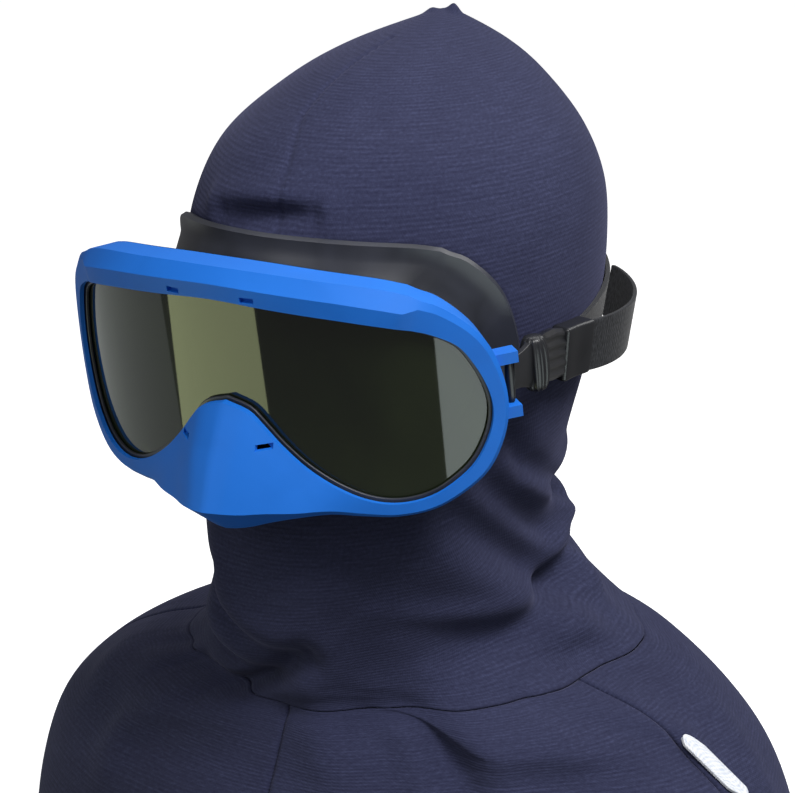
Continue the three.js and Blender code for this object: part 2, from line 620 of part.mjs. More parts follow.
// The swivel clip hooks the frame between the lugs and reaches back to the slider.
const CLIP_STATIONS = [0, 0.12, 0.2, 0.45, 0.7, 1];
const CLIP_HOOK = 0.15;
const CLIP_THINNER = 1.5;
const CLIP_BELLY = 0.98;
const CLIP_HOLD = 1;
function clip(side) {
  const upright = (center, tangent, half, thick) => {
    const out = new THREE.Vector3(tangent.y, -tangent.x, 0).multiplyScalar(side);
    return [[half, 0], [half, thick], [-half, thick], [-half, 0]]
      .map(([up, off]) => center.clone().addScaledVector(out, off).add(new THREE.Vector3(0, 0, up)));
  };
  const lugMiddle = (LUG_UP + LUG_DOWN) / 2 * lensUp;
  const lugSpace = (LUG_UP - LUG_DOWN) * lensUp / 2 - LUG_THICK / 2 - FIT;
  const reach = LUG_ACROSS * lensArc + LUG_LENGTH + CLIP_HOLD;
  const start = onLens(side * reach, lugMiddle, LUG_BACK + CLIP_HOLD);
  const heldAt = [side * (SLIDER_FROM + CLIP_HOLD), SLIDER_RISE - STRAP_DROP, SLIDER_IN + 2 * CLIP_HOLD];
  const held = clothAt(level, ...heldAt);
  const end = goggles.worldToLocal(held);
  const bend = start.clone().add(end).multiplyScalar(0.5).add(new THREE.Vector3(0, -2 * CLIP_HOLD, CLIP_HOLD));
  bend.x = start.x * CLIP_BELLY;
  const path = new THREE.QuadraticBezierCurve3(start, bend, end);
  const sections = CLIP_STATIONS.map((share) => {
    const tangent = path.getTangent(share);
    const hook = share < CLIP_HOOK;
    const half = hook ? lugSpace : STRAP_WIDTH / 2;
    return upright(path.getPoint(share), tangent, half, hook ? CLIP_THICK - CLIP_THINNER : CLIP_THICK);
  });
  const sliderSpace = toSolid(sliderBand(side, FIT)).transform(toGoggles);
  const lugSpaces = [LUG_UP, LUG_DOWN].map((up) => lug(side, up, FIT));
  return fromSolid([clearOfHeadFromGoggles, sliderSpace, ...lugSpaces].reduce(
    (solid, space) => solid.subtract(space), toSolid(loft(sections, false)),
  ));
}

// The folded label in the wearer's left shoulder seam.
const LABEL_AROUND = 91.5;
const LABEL_BELOW = 27;
const LABEL_DROP = COLLAR_DROP + LABEL_BELOW;
const LABEL_STEP = 1.5;
const LABEL_POINT = 0.25;
function seamLabel() {
  const wide = LABEL_WIDTH / (SHOULDER_WIDTH / 2) * 180 / Math.PI / 2;
  const made = band(level, LABEL_AROUND - wide, LABEL_AROUND + wide, LABEL_STEP, (angle, share) => ({
    up: -LABEL_DROP - LABEL_SLANT * share,
    half: LABEL_LENGTH / 2 * Math.sin(Math.PI * (LABEL_POINT + (1 - 2 * LABEL_POINT) * share)),
    inner: -LAY, outer: FIT + LABEL_LAY + LABEL_THICK,
  }));
  return fromSolid(toSolid(made).subtract(clothForm(FIT, COLLAR, 1, BIB_ROWS)));
}

// Finishes: dark navy knit, blue nylon, dark olive polycarbonate, black rubber and elastic.
const finish = (color, roughness, more = {}) => new THREE.MeshStandardMaterial({ color, roughness, ...more });
const knit = finish(0x23263a, 0.95);
const nylon = finish(0x2a78e4, 0.45);
const tinted = finish(0x2c3322, 0.12, { metalness: 0.1 });
const rubber = finish(0x26272a, 0.6);
const plastic = finish(0x1d1e20, 0.4);
const elastic = finish(0x2c2d31, 0.85);
const cotton = finish(0xe8e8ea, 0.9);

const hood = new THREE.Group();
function piece(name, made, material, into = hood) {
  const mesh = new THREE.Mesh(made, material);
  mesh.name = name;
  into.add(mesh);
}
piece('hood_head', hoodHead(), knit);
piece('bib_front_left', bibPanel(0, SHOULDER_SEAM), knit);
piece('bib_front_right', bibPanel(-SHOULDER_SEAM, 0), knit);
piece('bib_back', bibPanel(SHOULDER_SEAM, 360 - SHOULDER_SEAM), knit);
piece('seam_label', seamLabel(), cotton);
piece('goggle_frame', goggleFrame(), nylon, goggles);
piece('lens', lensSlab(), tinted, goggles);
piece('lens_gasket', lensGasket(), rubber, goggles);
piece('face_seal', faceSeal(), rubber, goggles);
piece('strap', mainStrap(), elastic);
for (const [name, side] of [['left', 1], ['right', -1]]) {
  piece(`clip_${name}`, clip(side), plastic, goggles);
  piece(`slider_${name}`, slider(side), plastic);
  piece(`strap_loop_${name}`, strapLoop(side), elastic);
}
hood.add(goggles);

export default hood;
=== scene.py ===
# Knitted arc flash hood with a shoulder bib, worn with tinted goggles over its eye opening.
# Places are worked out in millimetres, in the frame of the CAD model, and turned to metres in the mesh.
import math

import bmesh
import bpy
import numpy as np
from mathutils import Matrix, Vector


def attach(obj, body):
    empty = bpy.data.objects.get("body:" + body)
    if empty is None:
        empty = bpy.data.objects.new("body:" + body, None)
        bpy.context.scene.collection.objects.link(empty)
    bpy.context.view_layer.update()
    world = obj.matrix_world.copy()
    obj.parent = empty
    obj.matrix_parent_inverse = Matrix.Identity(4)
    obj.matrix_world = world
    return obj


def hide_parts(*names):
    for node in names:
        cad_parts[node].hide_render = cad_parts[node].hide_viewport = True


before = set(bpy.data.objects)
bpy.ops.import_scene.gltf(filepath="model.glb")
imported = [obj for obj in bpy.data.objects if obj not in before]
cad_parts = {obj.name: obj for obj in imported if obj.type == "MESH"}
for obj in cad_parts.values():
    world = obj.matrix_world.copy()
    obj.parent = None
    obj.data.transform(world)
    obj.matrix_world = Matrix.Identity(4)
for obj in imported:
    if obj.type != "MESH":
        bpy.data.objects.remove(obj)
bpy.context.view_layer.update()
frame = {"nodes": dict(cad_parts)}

bl_info = {
    "name": "Arc flash hood",
    "version": (1, 0, 0),
    "blender": (4, 5, 0),
    "location": "View3D > Sidebar > Hood",
    "description": "Builds a knitted hood with its bib, and the goggles over its eye opening",
    "category": "Object",
}

MM = 0.001

# Depths below the crown and the neck's width, in millimetres, as in the CAD model.
HEAD_DROP = 200
NECK_WIDTH = 124
COLLAR_DROP = 241
BIB_DROP = 132
# The hood's surface, crown first, one row for each cross-section, in millimetres and degrees:
# down from the crown, shift toward the back, tilt of the front, half width, front and back reach.
HOOD_ROWS = np.array([
    [-10.4, 40.42, 0, 0, 0, 0],
    [-8, 38.54, 0, 7.75, 13.16, 11.28],
    [2, 31.02, 0, 31, 48.88, 33.84],
    [14, 24.44, 0, 48.825, 70.5, 51.7],
    [32, 18.8, 0, 66.65, 92.12, 67.68],
    [54, 15.04, 2, 75.95, 102.46, 79.9],
    [78, 11.28, 4, 78.275, 101.52, 86.48],
    [104, 7.52, 6, 76.725, 97.76, 90.24],
    [132, 3.76, 8, 72.85, 91.18, 86.48],
    [160, 0.94, 8, 66.65, 90.24, 80.84],
    [186, -0.94, 7, 61.38, 90.78, 83.66],
    [206, 0, 8, 62, 87.22, 89],
    [222, 4.7, 8, 65.72, 86.33, 89.89],
    [241, 16.92, 3, 89.28, 90.78, 97.9],
    [248.92, 16.544, 3, 116.28, 95.2, 100.8],
    [263.44, 16.92, 3, 140.22, 103.04, 104.16],
    [281.92, 16.92, 3, 157.32, 112, 107.52],
    [309.64, 17.86, 3, 167.58, 117.6, 110.88],
    [341.32, 18.8, 3, 171.855, 120.96, 112],
    [373, 18.8, 4, 171, 120.96, 113.12],
])
COLLAR = 13 / (len(HOOD_ROWS) - 1)

# Main folds, as in the CAD model: around and span in degrees, down and height as shares of the drop,
# slope as a share of the drop for each 90 degrees, depth as a share of the neck's width.
HEAD_FOLDS = [
    (150, 0.86, 60, 0.035, 0.02, 0.03),  # nape roll
    (150, 0.93, 62, 0.03, 0.02, -0.045),  # nape crease
    (130, 1, 60, 0.035, -0.1, 0.04),  # neck roll
    (118, 1.06, 55, 0.028, -0.08, -0.045),  # neck crease
    (105, 1.13, 60, 0.035, -0.06, 0.045),  # collar roll
    (-35, 1.12, 45, 0.03, 0.03, -0.05),  # throat crease
    (-30, 1.05, 50, 0.035, 0.02, 0.035),  # throat roll
    (-70, 0.97, 40, 0.03, -0.05, -0.03),  # chin crease
    (62, 1.02, 35, 0.03, 0.16, 0.03),  # cheek ridge
    (0, 0.44, 26, 0.028, 0, 0.03),  # forehead roll
]
BIB_FOLDS = [
    (42, 0.3, 40, 0.1, 0.3, -0.045),  # front valley
    (55, 0.55, 45, 0.12, 0.15, 0.05),  # front swag
    (80, 0.28, 30, 0.08, 0.3, 0.035),  # shoulder swag
    (-35, 0.2, 35, 0.09, -0.2, -0.04),  # right valley
    (180, 0.35, 60, 0.12, 0, 0.035),  # back swag
]

# Finer wrinkles: name, depth and half width in millimetres, with a minus for a crease, and the
# points that each follows, in degrees round the hood and millimetres down.
WRINKLES = [
    ("nape crease", -4, 5, [(132, 193), (97, 166), (84, 154), (75, 140), (71, 131)]),
    ("nape ridge", 3, 6, [(128, 198), (119, 186), (87, 162), (75, 150)]),
    ("second crease", -5, 6, [(111, 205), (104, 194), (86, 175), (74, 161), (65, 149)]),
    ("second ridge", 4, 6, [(120, 223), (122, 216), (91, 185), (68, 160), (56, 148)]),
    ("third crease", -5, 8, [(107, 226), (106, 220), (89, 196), (70, 173), (59, 160)]),
    ("broad ridge", 4, 12, [(110, 237), (100, 230), (95, 220), (76, 196), (61, 180), (49, 169)]),
    ("lower hollow", -3, 14, [(90, 237), (78, 230), (66, 220), (53, 204), (42, 190)]),
    ("throat valley", -3, 14, [(34, 244), (37, 227), (33, 212), (25, 202)]),
    ("throat ridge", 3, 10, [(-27, 173), (-22, 184), (-19, 193), (-11, 199), (-3, 203), (11, 208)]),
    ("throat crease", -5, 6, [(-33, 183), (-36, 197), (-24, 203), (-13, 208), (0, 212), (10, 212)]),
    ("left tuck", -7, 7, [(-41, 244), (-33, 244), (-25, 244), (-20, 240), (-11, 228), (3, 216), (11, 211)]),
    ("left crease a", -2, 4, [(-85, 249), (-73, 246), (-64, 245)]),
    ("left crease b", -2, 4, [(-62, 247), (-56, 245), (-53, 243)]),
    ("left fold", 2.5, 10, [(-54, 263), (-60, 254), (-65, 247), (-72, 244)]),
    ("left low fold", 3, 12, [(-33, 280), (-36, 268), (-29, 254), (-14, 247)]),
    ("valley", -7, 12, [(32, 245), (31, 249), (31, 257), (32, 265)]),
    ("valley lip", 3, 12, [(40, 245), (39, 250), (39, 257), (39, 265)]),
    ("swag one", 3, 8, [(67, 244), (72, 246), (75, 248), (79, 252), (83, 256)]),
    ("swag one dark", -3, 7, [(62, 246), (68, 249), (74, 253), (79, 259)]),
    ("swag two", 3, 9, [(35, 249), (43, 252), (54, 254), (66, 256), (82, 261)]),
    ("swag two dark", -4, 9, [(35, 260), (43, 261), (54, 263), (67, 262), (80, 263)]),
    ("shoulder fold", 2.5, 12, [(115, 245), (102, 250), (97, 260), (94, 272)]),
    ("centre left fold", 3, 12, [(7, 234), (8, 249), (10, 258), (12, 268)]),
    ("centre dark", -3, 10, [(22, 231), (19, 247), (21, 255), (22, 266)]),
    ("brow crease", -5, 5, [(-19, 49), (-9, 48), (2, 47), (12, 46)]),
    ("brow roll", 3, 6, [(-25, 46), (-11, 44), (2, 42), (15, 42)]),
]
WRINKLE_STRENGTH = 1.45


def curve_between(a, b, rise_a, rise_b, f):
    """A soft curve from a to b, with its rise at each end, at the share f of the way."""
    cubic = 2 * a - 2 * b + rise_a + rise_b
    square = 3 * b - 3 * a - 2 * rise_a - rise_b
    return cubic * f**3 + square * f**2 + rise_a * f + a


def rows_at(t):
    """The cross-section at each place t, from 0 at the crown to 1 at the bib's hem."""
    last = len(HOOD_ROWS) - 1
    at = np.clip(t, 0, 1) * last
    i = np.minimum(at.astype(int), last - 1)
    f = (at - i)[..., None]
    a, b = HOOD_ROWS[i], HOOD_ROWS[i + 1]
    rise_a = (b - HOOD_ROWS[np.maximum(i - 1, 0)]) / 2
    rise_b = (HOOD_ROWS[np.minimum(i + 2, last)] - a) / 2
    return curve_between(a, b, rise_a, rise_b, f)


def fold_height(folds, around, level):
    """How far the main folds push the cloth out, in millimetres."""
    total = np.zeros_like(level)
    for place, down, span, height, slope, depth in folds:
        turn = (around - place + 540) % 360 - 180
        across = np.clip(turn / span, -1, 1)
        off = (level - down - slope * turn / 90) / height
        total = total + depth * NECK_WIDTH * np.cos(across * np.pi / 2) ** 2 * np.exp(-off * off)
    return total


def wrinkle_height(around, down, radius):
    """How far the finer wrinkles push the cloth out: each is a soft ridge or crease along its points."""
    total = np.zeros_like(down)
    for _, depth, width, points in WRINKLES:
        nearest = np.full_like(down, 1e9)
        along = np.zeros_like(down)
        count = len(points) - 1
        for i, (start, end) in enumerate(zip(points, points[1:])):
            turn = (around - start[0] + 540) % 360 - 180
            x = np.radians(turn) * radius
            y = down - start[1]
            run = np.radians(end[0] - start[0]) * radius
            drop = end[1] - start[1]
            share = np.clip((x * run + y * drop) / (run * run + drop * drop + 1e-6), 0, 1)
            away = np.hypot(x - run * share, y - drop * share)
            closer = away < nearest
            nearest = np.where(closer, away, nearest)
            along = np.where(closer, (i + share) / count, along)
        fade = 0.35 + 0.65 * np.sin(np.pi * np.clip(along, 0.04, 0.96)) ** 0.5
        total = total + WRINKLE_STRENGTH * depth * fade * np.exp(-((nearest / width) ** 2))
    return total


# The half width in millimetres from which the folds and wrinkles stand at their full height.
FULL_FOLDS = 38.75


def hood_points(around, t, fine=True):
    """Points of the cloth's outer face, in millimetres, for arrays of degrees and of t."""
    down, shift, tilt, half, front, back = np.moveaxis(rows_at(t), -1, 0)
    s, c = np.sin(np.radians(around)), np.cos(np.radians(around))
    bulge = fold_height(HEAD_FOLDS, around, down / HEAD_DROP)
    bulge = bulge + fold_height(BIB_FOLDS, around, (down - COLLAR_DROP) / BIB_DROP)
    if fine:
        bulge = bulge + wrinkle_height(around, down, np.maximum(half, 20))
    grow = np.minimum(1, np.maximum(half, 0) / FULL_FOLDS) * bulge
    across = (np.maximum(half, 0) + grow) * s
    ahead = (np.maximum(np.where(c > 0, front, back), 0) + grow) * c
    slant = np.radians(tilt)
    return np.stack([across, shift - ahead * np.cos(slant), -down - ahead * np.sin(slant)], -1)


def off_cloth(around, t, by, fine=False):
    """Points off the cloth along its own normal, out with a plus."""
    t = np.maximum(t, 0.002)
    above, below = np.maximum(t - 0.004, 0.001), np.minimum(t + 0.004, 1)
    along = hood_points(around + 1.5, t, fine) - hood_points(around - 1.5, t, fine)
    down = hood_points(around, below, fine) - hood_points(around, above, fine)
    normal = np.cross(down, along)
    normal = normal / np.linalg.norm(normal, axis=-1, keepdims=True)
    return hood_points(around, t, fine) + normal * np.asarray(by)[..., None]


# The goggles' own frame: its origin is on the lens's axis, and it nods forward.
GOGGLES = Matrix.Translation((0, 10.6, -90.5)) @ Matrix.Rotation(math.radians(10), 4, "X")
TO_HOOD = np.array(GOGGLES)
TO_GOGGLES = np.array(GOGGLES.inverted())


def placed(matrix, points):
    """Points through a 4x4 matrix."""
    return points @ matrix[:3, :3].T + matrix[:3, 3]


# How often a place on the cloth is closed in on, by what part of the error, and the cloth's height
# in millimetres, which turns an error in height to one in t.
SEEK_STEPS = 24
SEEK_PART = 0.8
SEEK_HEIGHT = 356


def cloth_at(matrix, angle, up, off):
    """Points off the cloth found by the angle and height in another frame, given by the matrix to it."""
    around, t = np.array(angle, float), np.full(np.shape(angle), 0.4)
    for _ in range(SEEK_STEPS):
        p = placed(matrix, hood_points(around, t, False))
        turn = np.degrees(np.arctan2(p[..., 0], -p[..., 1]))
        around = around + SEEK_PART * ((angle - turn + 540) % 360 - 180)
        t = np.clip(t + SEEK_PART * (p[..., 2] - up) / SEEK_HEIGHT, 0.05, 0.95)
    return placed(matrix, off_cloth(around, t, off))


# The hood's own frame, for the strap and the label.
LEVEL = np.eye(4)

# The lens's radius, half arc and half height, and the frame's depth behind it, in millimetres.
LENS_RADIUS = 126
LENS_ARC = LENS_RADIUS * math.asin(180.6 / 2 / LENS_RADIUS)
LENS_UP = 41
FRAME_DEPTH = 9
# The last four columns of many rows below: the bar's and the rim's.
BAR = (0.048, 0.050, 0.008, 0.55)
RIM = (0.030, 0.032, 0.022, 0.75)
# The goggles, from the top centre down the wearer's left side to the nose: openAcross, openUp,
# rimAcross, rimUp as shares of the lens's half sizes, then how far the opening, the crease and the
# rim stand ahead of the lens as shares of its radius, and where the crease lies between them.
RING = np.array([
    # Visor bar
    [0, 1.02, 0, 1.29, *BAR],
    [0.218, 0.976, 0.21, 1.27, *BAR],
    [0.445, 0.895, 0.44, 1.20, *BAR],
    # End of the bar
    [0.60, 0.815, 0.62, 1.12, 0.048, 0.050, 0.010, 0.52],
    [0.68, 0.765, 0.735, 1.04, 0.046, 0.050, 0.016, 0.52],
    # Side
    [0.735, 0.72, 0.775, 0.985, 0.034, 0.036, 0.022, 0.75],
    [0.80, 0.656, 0.85, 0.89, *RIM],
    [0.889, 0.52, 0.945, 0.68, *RIM],
    [0.943, 0.32, 1.01, 0.45, *RIM],
    [0.985, 0.076, 1.05, 0.14, *RIM],
    [1.00, -0.151, 1.06, -0.16, *RIM],
    # Cheek
    [0.98, -0.388, 1.035, -0.45, *RIM],
    [0.921, -0.641, 0.97, -0.74, *RIM],
    [0.84, -0.81, 0.87, -0.93, *RIM],
    [0.745, -0.929, 0.755, -1.06, *RIM],
    [0.631, -0.973, 0.625, -1.105, *RIM],
    [0.522, -0.929, 0.50, -1.085, 0.030, 0.034, 0.024, 0.75],
    # Nose bridge
    [0.413, -0.805, 0.38, -1.06, 0.030, 0.052, 0.030, 0.74],
    [0.306, -0.622, 0.26, -1.09, 0.032, 0.095, 0.045, 0.74],
    [0.216, -0.407, 0.165, -1.13, 0.034, 0.130, 0.062, 0.74],
    [0.155, -0.232, 0.095, -1.17, 0.036, 0.165, 0.080, 0.74],
    [0.095, -0.085, 0.045, -1.19, 0.038, 0.190, 0.090, 0.74],
    [0, -0.01, 0, -1.20, 0.040, 0.205, 0.095, 0.74],
])
# Rows of the table where the outline turns a corner instead of a curve.
CORNERS = [4, 5, 22]


def smooth_ring(steps):
    """Stations all the way round, steps to each one of the table, through a soft curve."""
    mirrored = RING[-2:0:-1] * np.array([-1, 1, -1, 1, 1, 1, 1, 1])
    rows = np.concatenate([RING, mirrored])
    rows = np.concatenate([rows, np.hypot(
        (rows[:, 2] - rows[:, 0]) * LENS_ARC, (rows[:, 3] - rows[:, 1]) * LENS_UP)[:, None]], 1)
    count = len(rows)
    at = np.arange(count * steps) / steps
    i = at.astype(int)
    f = (at - i)[:, None]
    before, a, b, after = (rows[(i + k) % count] for k in (-1, 0, 1, 2))
    corner = np.isin(np.arange(count), CORNERS + [count - place for place in CORNERS])
    rise_a = np.where(corner[i % count][:, None], b - a, (b - before) * 0.5)
    rise_b = np.where(corner[(i + 1) % count][:, None], b - a, (after - a) * 0.5)
    return curve_between(a, b, rise_a, rise_b, f)


def on_lens(across, up, proud):
    """Points in the goggles' frame: arc across, up, and ahead of the lens, in millimetres."""
    across, up, proud = np.broadcast_arrays(across, up, proud)
    turn = across / LENS_RADIUS
    r = LENS_RADIUS + proud
    return np.stack([r * np.sin(turn), -r * np.cos(turn), up], -1)


def station_places(ring, share):
    """Arcs across and heights on stations, at a share from the opening to the rim."""
    across = (ring[:, 0] + (ring[:, 2] - ring[:, 0]) * share) * LENS_ARC
    return across, (ring[:, 1] + (ring[:, 3] - ring[:, 1]) * share) * LENS_UP


def at_station(ring, share, proud):
    """Points on stations: share from the opening to the rim, and millimetres ahead of the lens."""
    return on_lens(*station_places(ring, share), proud)


def lens_edges(ring, margin):
    """The lens outline's top and bottom height for arcs across, grown by a margin."""
    half = ring[: len(ring) // 2 + 1]
    across, up = station_places(half, margin / half[:, 8])
    widest = int(across.argmax())
    top = (across[: widest + 1], up[: widest + 1])
    bottom = (across[widest:][::-1], up[widest:][::-1])
    return across[widest], top, bottom


def new_grid(across, down):
    """A bmesh grid with its place kept as an array of u and v from 0 to 1."""
    bm = bmesh.new()
    bmesh.ops.create_grid(bm, x_segments=across, y_segments=down, size=0.5)
    bm.verts.ensure_lookup_table()
    flat = np.array([vert.co[:2] for vert in bm.verts]) + 0.5
    return bm, flat


def lay_out(bm, flat, points, size):
    """Keeps the grid's place as a UV map in millimetres, then moves its vertices to their points."""
    layer = bm.loops.layers.uv.new("Cloth")
    for face in bm.faces:
        for loop in face.loops:
            u, v = flat[loop.vert.index]
            loop[layer].uv = (u * size[0], v * size[1])
    for vert, point in zip(bm.verts, points * MM):
        vert.co = point


def new_object(name, bm):
    """An object in the scene from a bmesh, which is freed."""
    mesh = bpy.data.meshes.new(name)
    bm.to_mesh(mesh)
    bm.free()
    item = bpy.data.objects.new(name, mesh)
    bpy.context.scene.collection.objects.link(item)
    return item


def add_piece(name, bm, material, node):
    """Makes the object, at the origin, riding on the body and standing for its CAD node."""
    piece = new_object(name, bm)
    mesh = piece.data
    mesh.polygons.foreach_set("use_smooth", [True] * len(mesh.polygons))
    mesh.materials.append(material)
    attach(piece, "root")
    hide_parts(node)
    return piece


def add_modifier(piece, kind, **settings):
    """One modifier with its settings."""
    modifier = piece.modifiers.new(kind.title(), kind)
    for key, value in settings.items():
        setattr(modifier, key, value)


def add_bevel(piece, width, segments, angle=0.6):
    """Rounds the edges that turn by more than the angle in radians, by a width in millimetres."""
    add_modifier(piece, "BEVEL", width=width * MM, segments=segments, limit_method="ANGLE",
                 angle_limit=angle, harden_normals=True)


def tube(sections, closed, matrix, size=(1, 1)):
    """A closed skin through rows of points, each row a closed section, with UVs in millimetres."""
    rows, around = sections.shape[:2]
    bm, flat = new_grid(rows if closed else rows - 1, around)
    i = np.rint(flat[:, 0] * (rows if closed else rows - 1)).astype(int) % rows
    j = np.rint(flat[:, 1] * around).astype(int) % around
    lay_out(bm, flat, placed(matrix, sections[i, j]), size)
    bmesh.ops.remove_doubles(bm, verts=bm.verts, dist=2e-6)
    if not closed:
        bmesh.ops.holes_fill(bm, edges=[edge for edge in bm.edges if edge.is_boundary], sides=0)
    bmesh.ops.recalc_face_normals(bm, faces=bm.faces)
    if bm.calc_volume(signed=True) < 0:
        bmesh.ops.reverse_faces(bm, faces=bm.faces)
    return bm


def to_linear(hex_colour):
    """An sRGB hex colour as linear red, green, blue and alpha."""
    values = [int(hex_colour[i:i + 2], 16) / 255 for i in (1, 3, 5)]
    return tuple(v / 12.92 if v <= 0.04045 else ((v + 0.055) / 1.055) ** 2.4 for v in values) + (1.0,)


def add_node(tree, kind, settings=(), **links):
    """Adds a node with its properties and inputs set, and its inputs linked by name."""
    node = tree.nodes.new(kind)
    for key, value in dict(settings).items():
        if isinstance(key, str) and hasattr(node, key):
            setattr(node, key, value)
        else:
            node.inputs[key].default_value = value
    for key, source in links.items():
        name = key.replace("_", " ")
        target = node.inputs[int(key[5:])] if key.startswith("input") else node.inputs[name]
        tree.links.new(source, target)
    return node


def new_material(name):
    """A material with an empty tree, its output and its main shader."""
    material = bpy.data.materials.new(name)
    material.use_nodes = True
    tree = material.node_tree
    tree.nodes.clear()
    shader = tree.nodes.new("ShaderNodeBsdfPrincipled")
    output = tree.nodes.new("ShaderNodeOutputMaterial")
    tree.links.new(shader.outputs["BSDF"], output.inputs["Surface"])
    return material, tree, shader


def set_shader(shader, **values):
    """Plain values on the shader's own sockets."""
    for key, value in values.items():
        shader.inputs[key.replace("_", " ")].default_value = value


def ramp(tree, source, stops):
    """A colour ramp from (place, hex colour) stops."""
    node = add_node(tree, "ShaderNodeValToRGB", Fac=source)
    while len(node.color_ramp.elements) < len(stops):
        node.color_ramp.elements.new(0.5)
    for element, (place, colour) in zip(node.color_ramp.elements, stops):
        element.position = place
        element.color = to_linear(colour)
    return node.outputs["Color"]


def math_node(tree, operation, *values):
    """A maths node from numbers and sockets."""
    node = tree.nodes.new("ShaderNodeMath")
    node.operation = operation
    for i, value in enumerate(values):
        if isinstance(value, (int, float)):
            node.inputs[i].default_value = value
        else:
            tree.links.new(value, node.inputs[i])
    return node.outputs[0]


def noise_node(tree, place, scale, detail, **more):
    """A noise's value at a place."""
    settings = {"Scale": scale, "Detail": detail, **more}
    return add_node(tree, "ShaderNodeTexNoise", settings, Vector=place).outputs["Fac"]


def scaled(tree, value, by, plus=0):
    """A value times a number or socket, plus another."""
    return math_node(tree, "MULTIPLY_ADD", value, by, plus)


def set_colour(tree, shader, source, stops):
    """The base colour from a value, through a ramp."""
    tree.links.new(ramp(tree, source, stops), shader.inputs["Base Color"])


def wave_node(tree, source, length):
    """A sine wave along a value, by its length in millimetres."""
    return math_node(tree, "SINE", scaled(tree, source, math.tau / length))


def add_bump(tree, shader, height, strength, relief):
    """Relief in the shader's normal, with its depth in millimetres."""
    settings = {"Strength": strength, "Distance": relief * MM}
    bump = add_node(tree, "ShaderNodeBump", settings, Height=height)
    tree.links.new(bump.outputs["Normal"], shader.inputs["Normal"])


def cloth_place(tree):
    """The place on the cloth in millimetres: the vector, and its parts along and down."""
    place = add_node(tree, "ShaderNodeTexCoord").outputs["UV"]
    split = add_node(tree, "ShaderNodeSeparateXYZ", Vector=place)
    return place, split.outputs["X"], split.outputs["Y"]


def knit_material(colour, light, dark):
    """Double-knit flame-resistant jersey: matt, dyed navy, with loops in fine courses and wales.
    The courses are 0.9 mm apart in the cloth. They are drawn 1.3 mm apart, about as coarse as the
    photograph's streaks, so that they show."""
    material, tree, shader = new_material("navy double knit")
    place, along, down = cloth_place(tree)
    streaks = add_node(tree, "ShaderNodeMapping", {"Scale": (0.06, 1.1, 1)}, Vector=place).outputs[0]
    streak = noise_node(tree, streaks, 1.0, 3, Roughness=0.6)
    heather_at = add_node(tree, "ShaderNodeMapping", {"Scale": (0.35, 0.7, 1)}, Vector=place).outputs[0]
    heather = noise_node(tree, heather_at, 1.6, 4, Roughness=0.7)
    cloud = noise_node(tree, place, 0.018, 2)
    courses, wales = wave_node(tree, down, 1.3), wave_node(tree, along, 1.1)
    loops = scaled(tree, scaled(tree, wales, 0.35, 0.65), courses)
    tone = scaled(tree, streak, 0.28, scaled(tree, heather, 0.5))
    tone = scaled(tree, cloud, 0.12, tone)
    tone = scaled(tree, loops, 0.04, tone)
    set_colour(tree, shader, tone, [(0.25, dark), (0.46, colour), (0.68, light)])
    height = scaled(tree, streak, 0.5, scaled(tree, loops, 0.5))
    add_bump(tree, shader, height, 0.35, 0.3)
    set_shader(shader, Roughness=0.92, Sheen_Weight=0.22, Sheen_Roughness=0.45, Specular_IOR_Level=0.2)
    shader.inputs["Sheen Tint"].default_value = to_linear("#8f90b8")
    return material


def moulded_material(name, stops, roughness, grain_mm, relief_mm, **more):
    """Moulded plastic or rubber: an even body with the fine spark-eroded grain of its mould, faint
    flow marks in its colour, and a finish that is a little rubbed in places."""
    material, tree, shader = new_material(name)
    place = add_node(tree, "ShaderNodeTexCoord").outputs["Object"]
    flow = noise_node(tree, place, 38.0, 3, Distortion=0.6)
    grain = noise_node(tree, place, 1000 / grain_mm, 2)
    set_colour(tree, shader, flow, stops)
    rubbed = scaled(tree, flow, 0.16, roughness - 0.08)
    rubbed = scaled(tree, grain, 0.06, rubbed)
    tree.links.new(rubbed, shader.inputs["Roughness"])
    add_bump(tree, shader, grain, 0.35, relief_mm)
    set_shader(shader, **more)
    return material


def lens_material(colour, deep):
    """Injection-moulded polycarbonate with an arc-rated dye: polished, dark olive, see-through."""
    material, tree, shader = new_material("dark olive polycarbonate")
    place = add_node(tree, "ShaderNodeTexCoord").outputs["Object"]
    flow = noise_node(tree, place, 9.0, 2, Distortion=0.8)
    set_colour(tree, shader, flow, [(0.3, deep), (0.75, colour)])
    haze = scaled(tree, flow, 0.02, 0.03)
    tree.links.new(haze, shader.inputs["Roughness"])
    set_shader(shader, IOR=1.585, Transmission_Weight=0.6)
    return material


def elastic_material(colour, dark):
    """Woven elastic: polyester yarn over rubber cores, with fine ribs 1.1 mm apart along it."""
    material, tree, shader = new_material("black woven elastic")
    place, along, down = cloth_place(tree)
    ribs, cords = wave_node(tree, along, 1.1), wave_node(tree, down, 1.4)
    weave = scaled(tree, ribs, scaled(tree, cords, 0.5, 0.5))
    tone = scaled(tree, weave, 0.08, noise_node(tree, place, 1.1, 3))
    set_colour(tree, shader, tone, [(0.3, dark), (0.75, colour)])
    add_bump(tree, shader, weave, 0.25, 0.3)
    set_shader(shader, Roughness=0.8, Sheen_Weight=0.15, Specular_IOR_Level=0.3)
    return material


def label_material(colour, shade):
    """Woven satin label: white polyester with fine threads 0.4 mm apart, drawn at 0.8 mm to show."""
    material, tree, shader = new_material("white woven label")
    place, _, down = cloth_place(tree)
    threads = wave_node(tree, down, 0.8)
    tone = scaled(tree, threads, 0.1, noise_node(tree, place, 0.6, 3))
    set_colour(tree, shader, tone, [(0.25, shade), (0.6, colour)])
    add_bump(tree, shader, threads, 0.4, 0.2)
    set_shader(shader, Roughness=0.55)
    return material


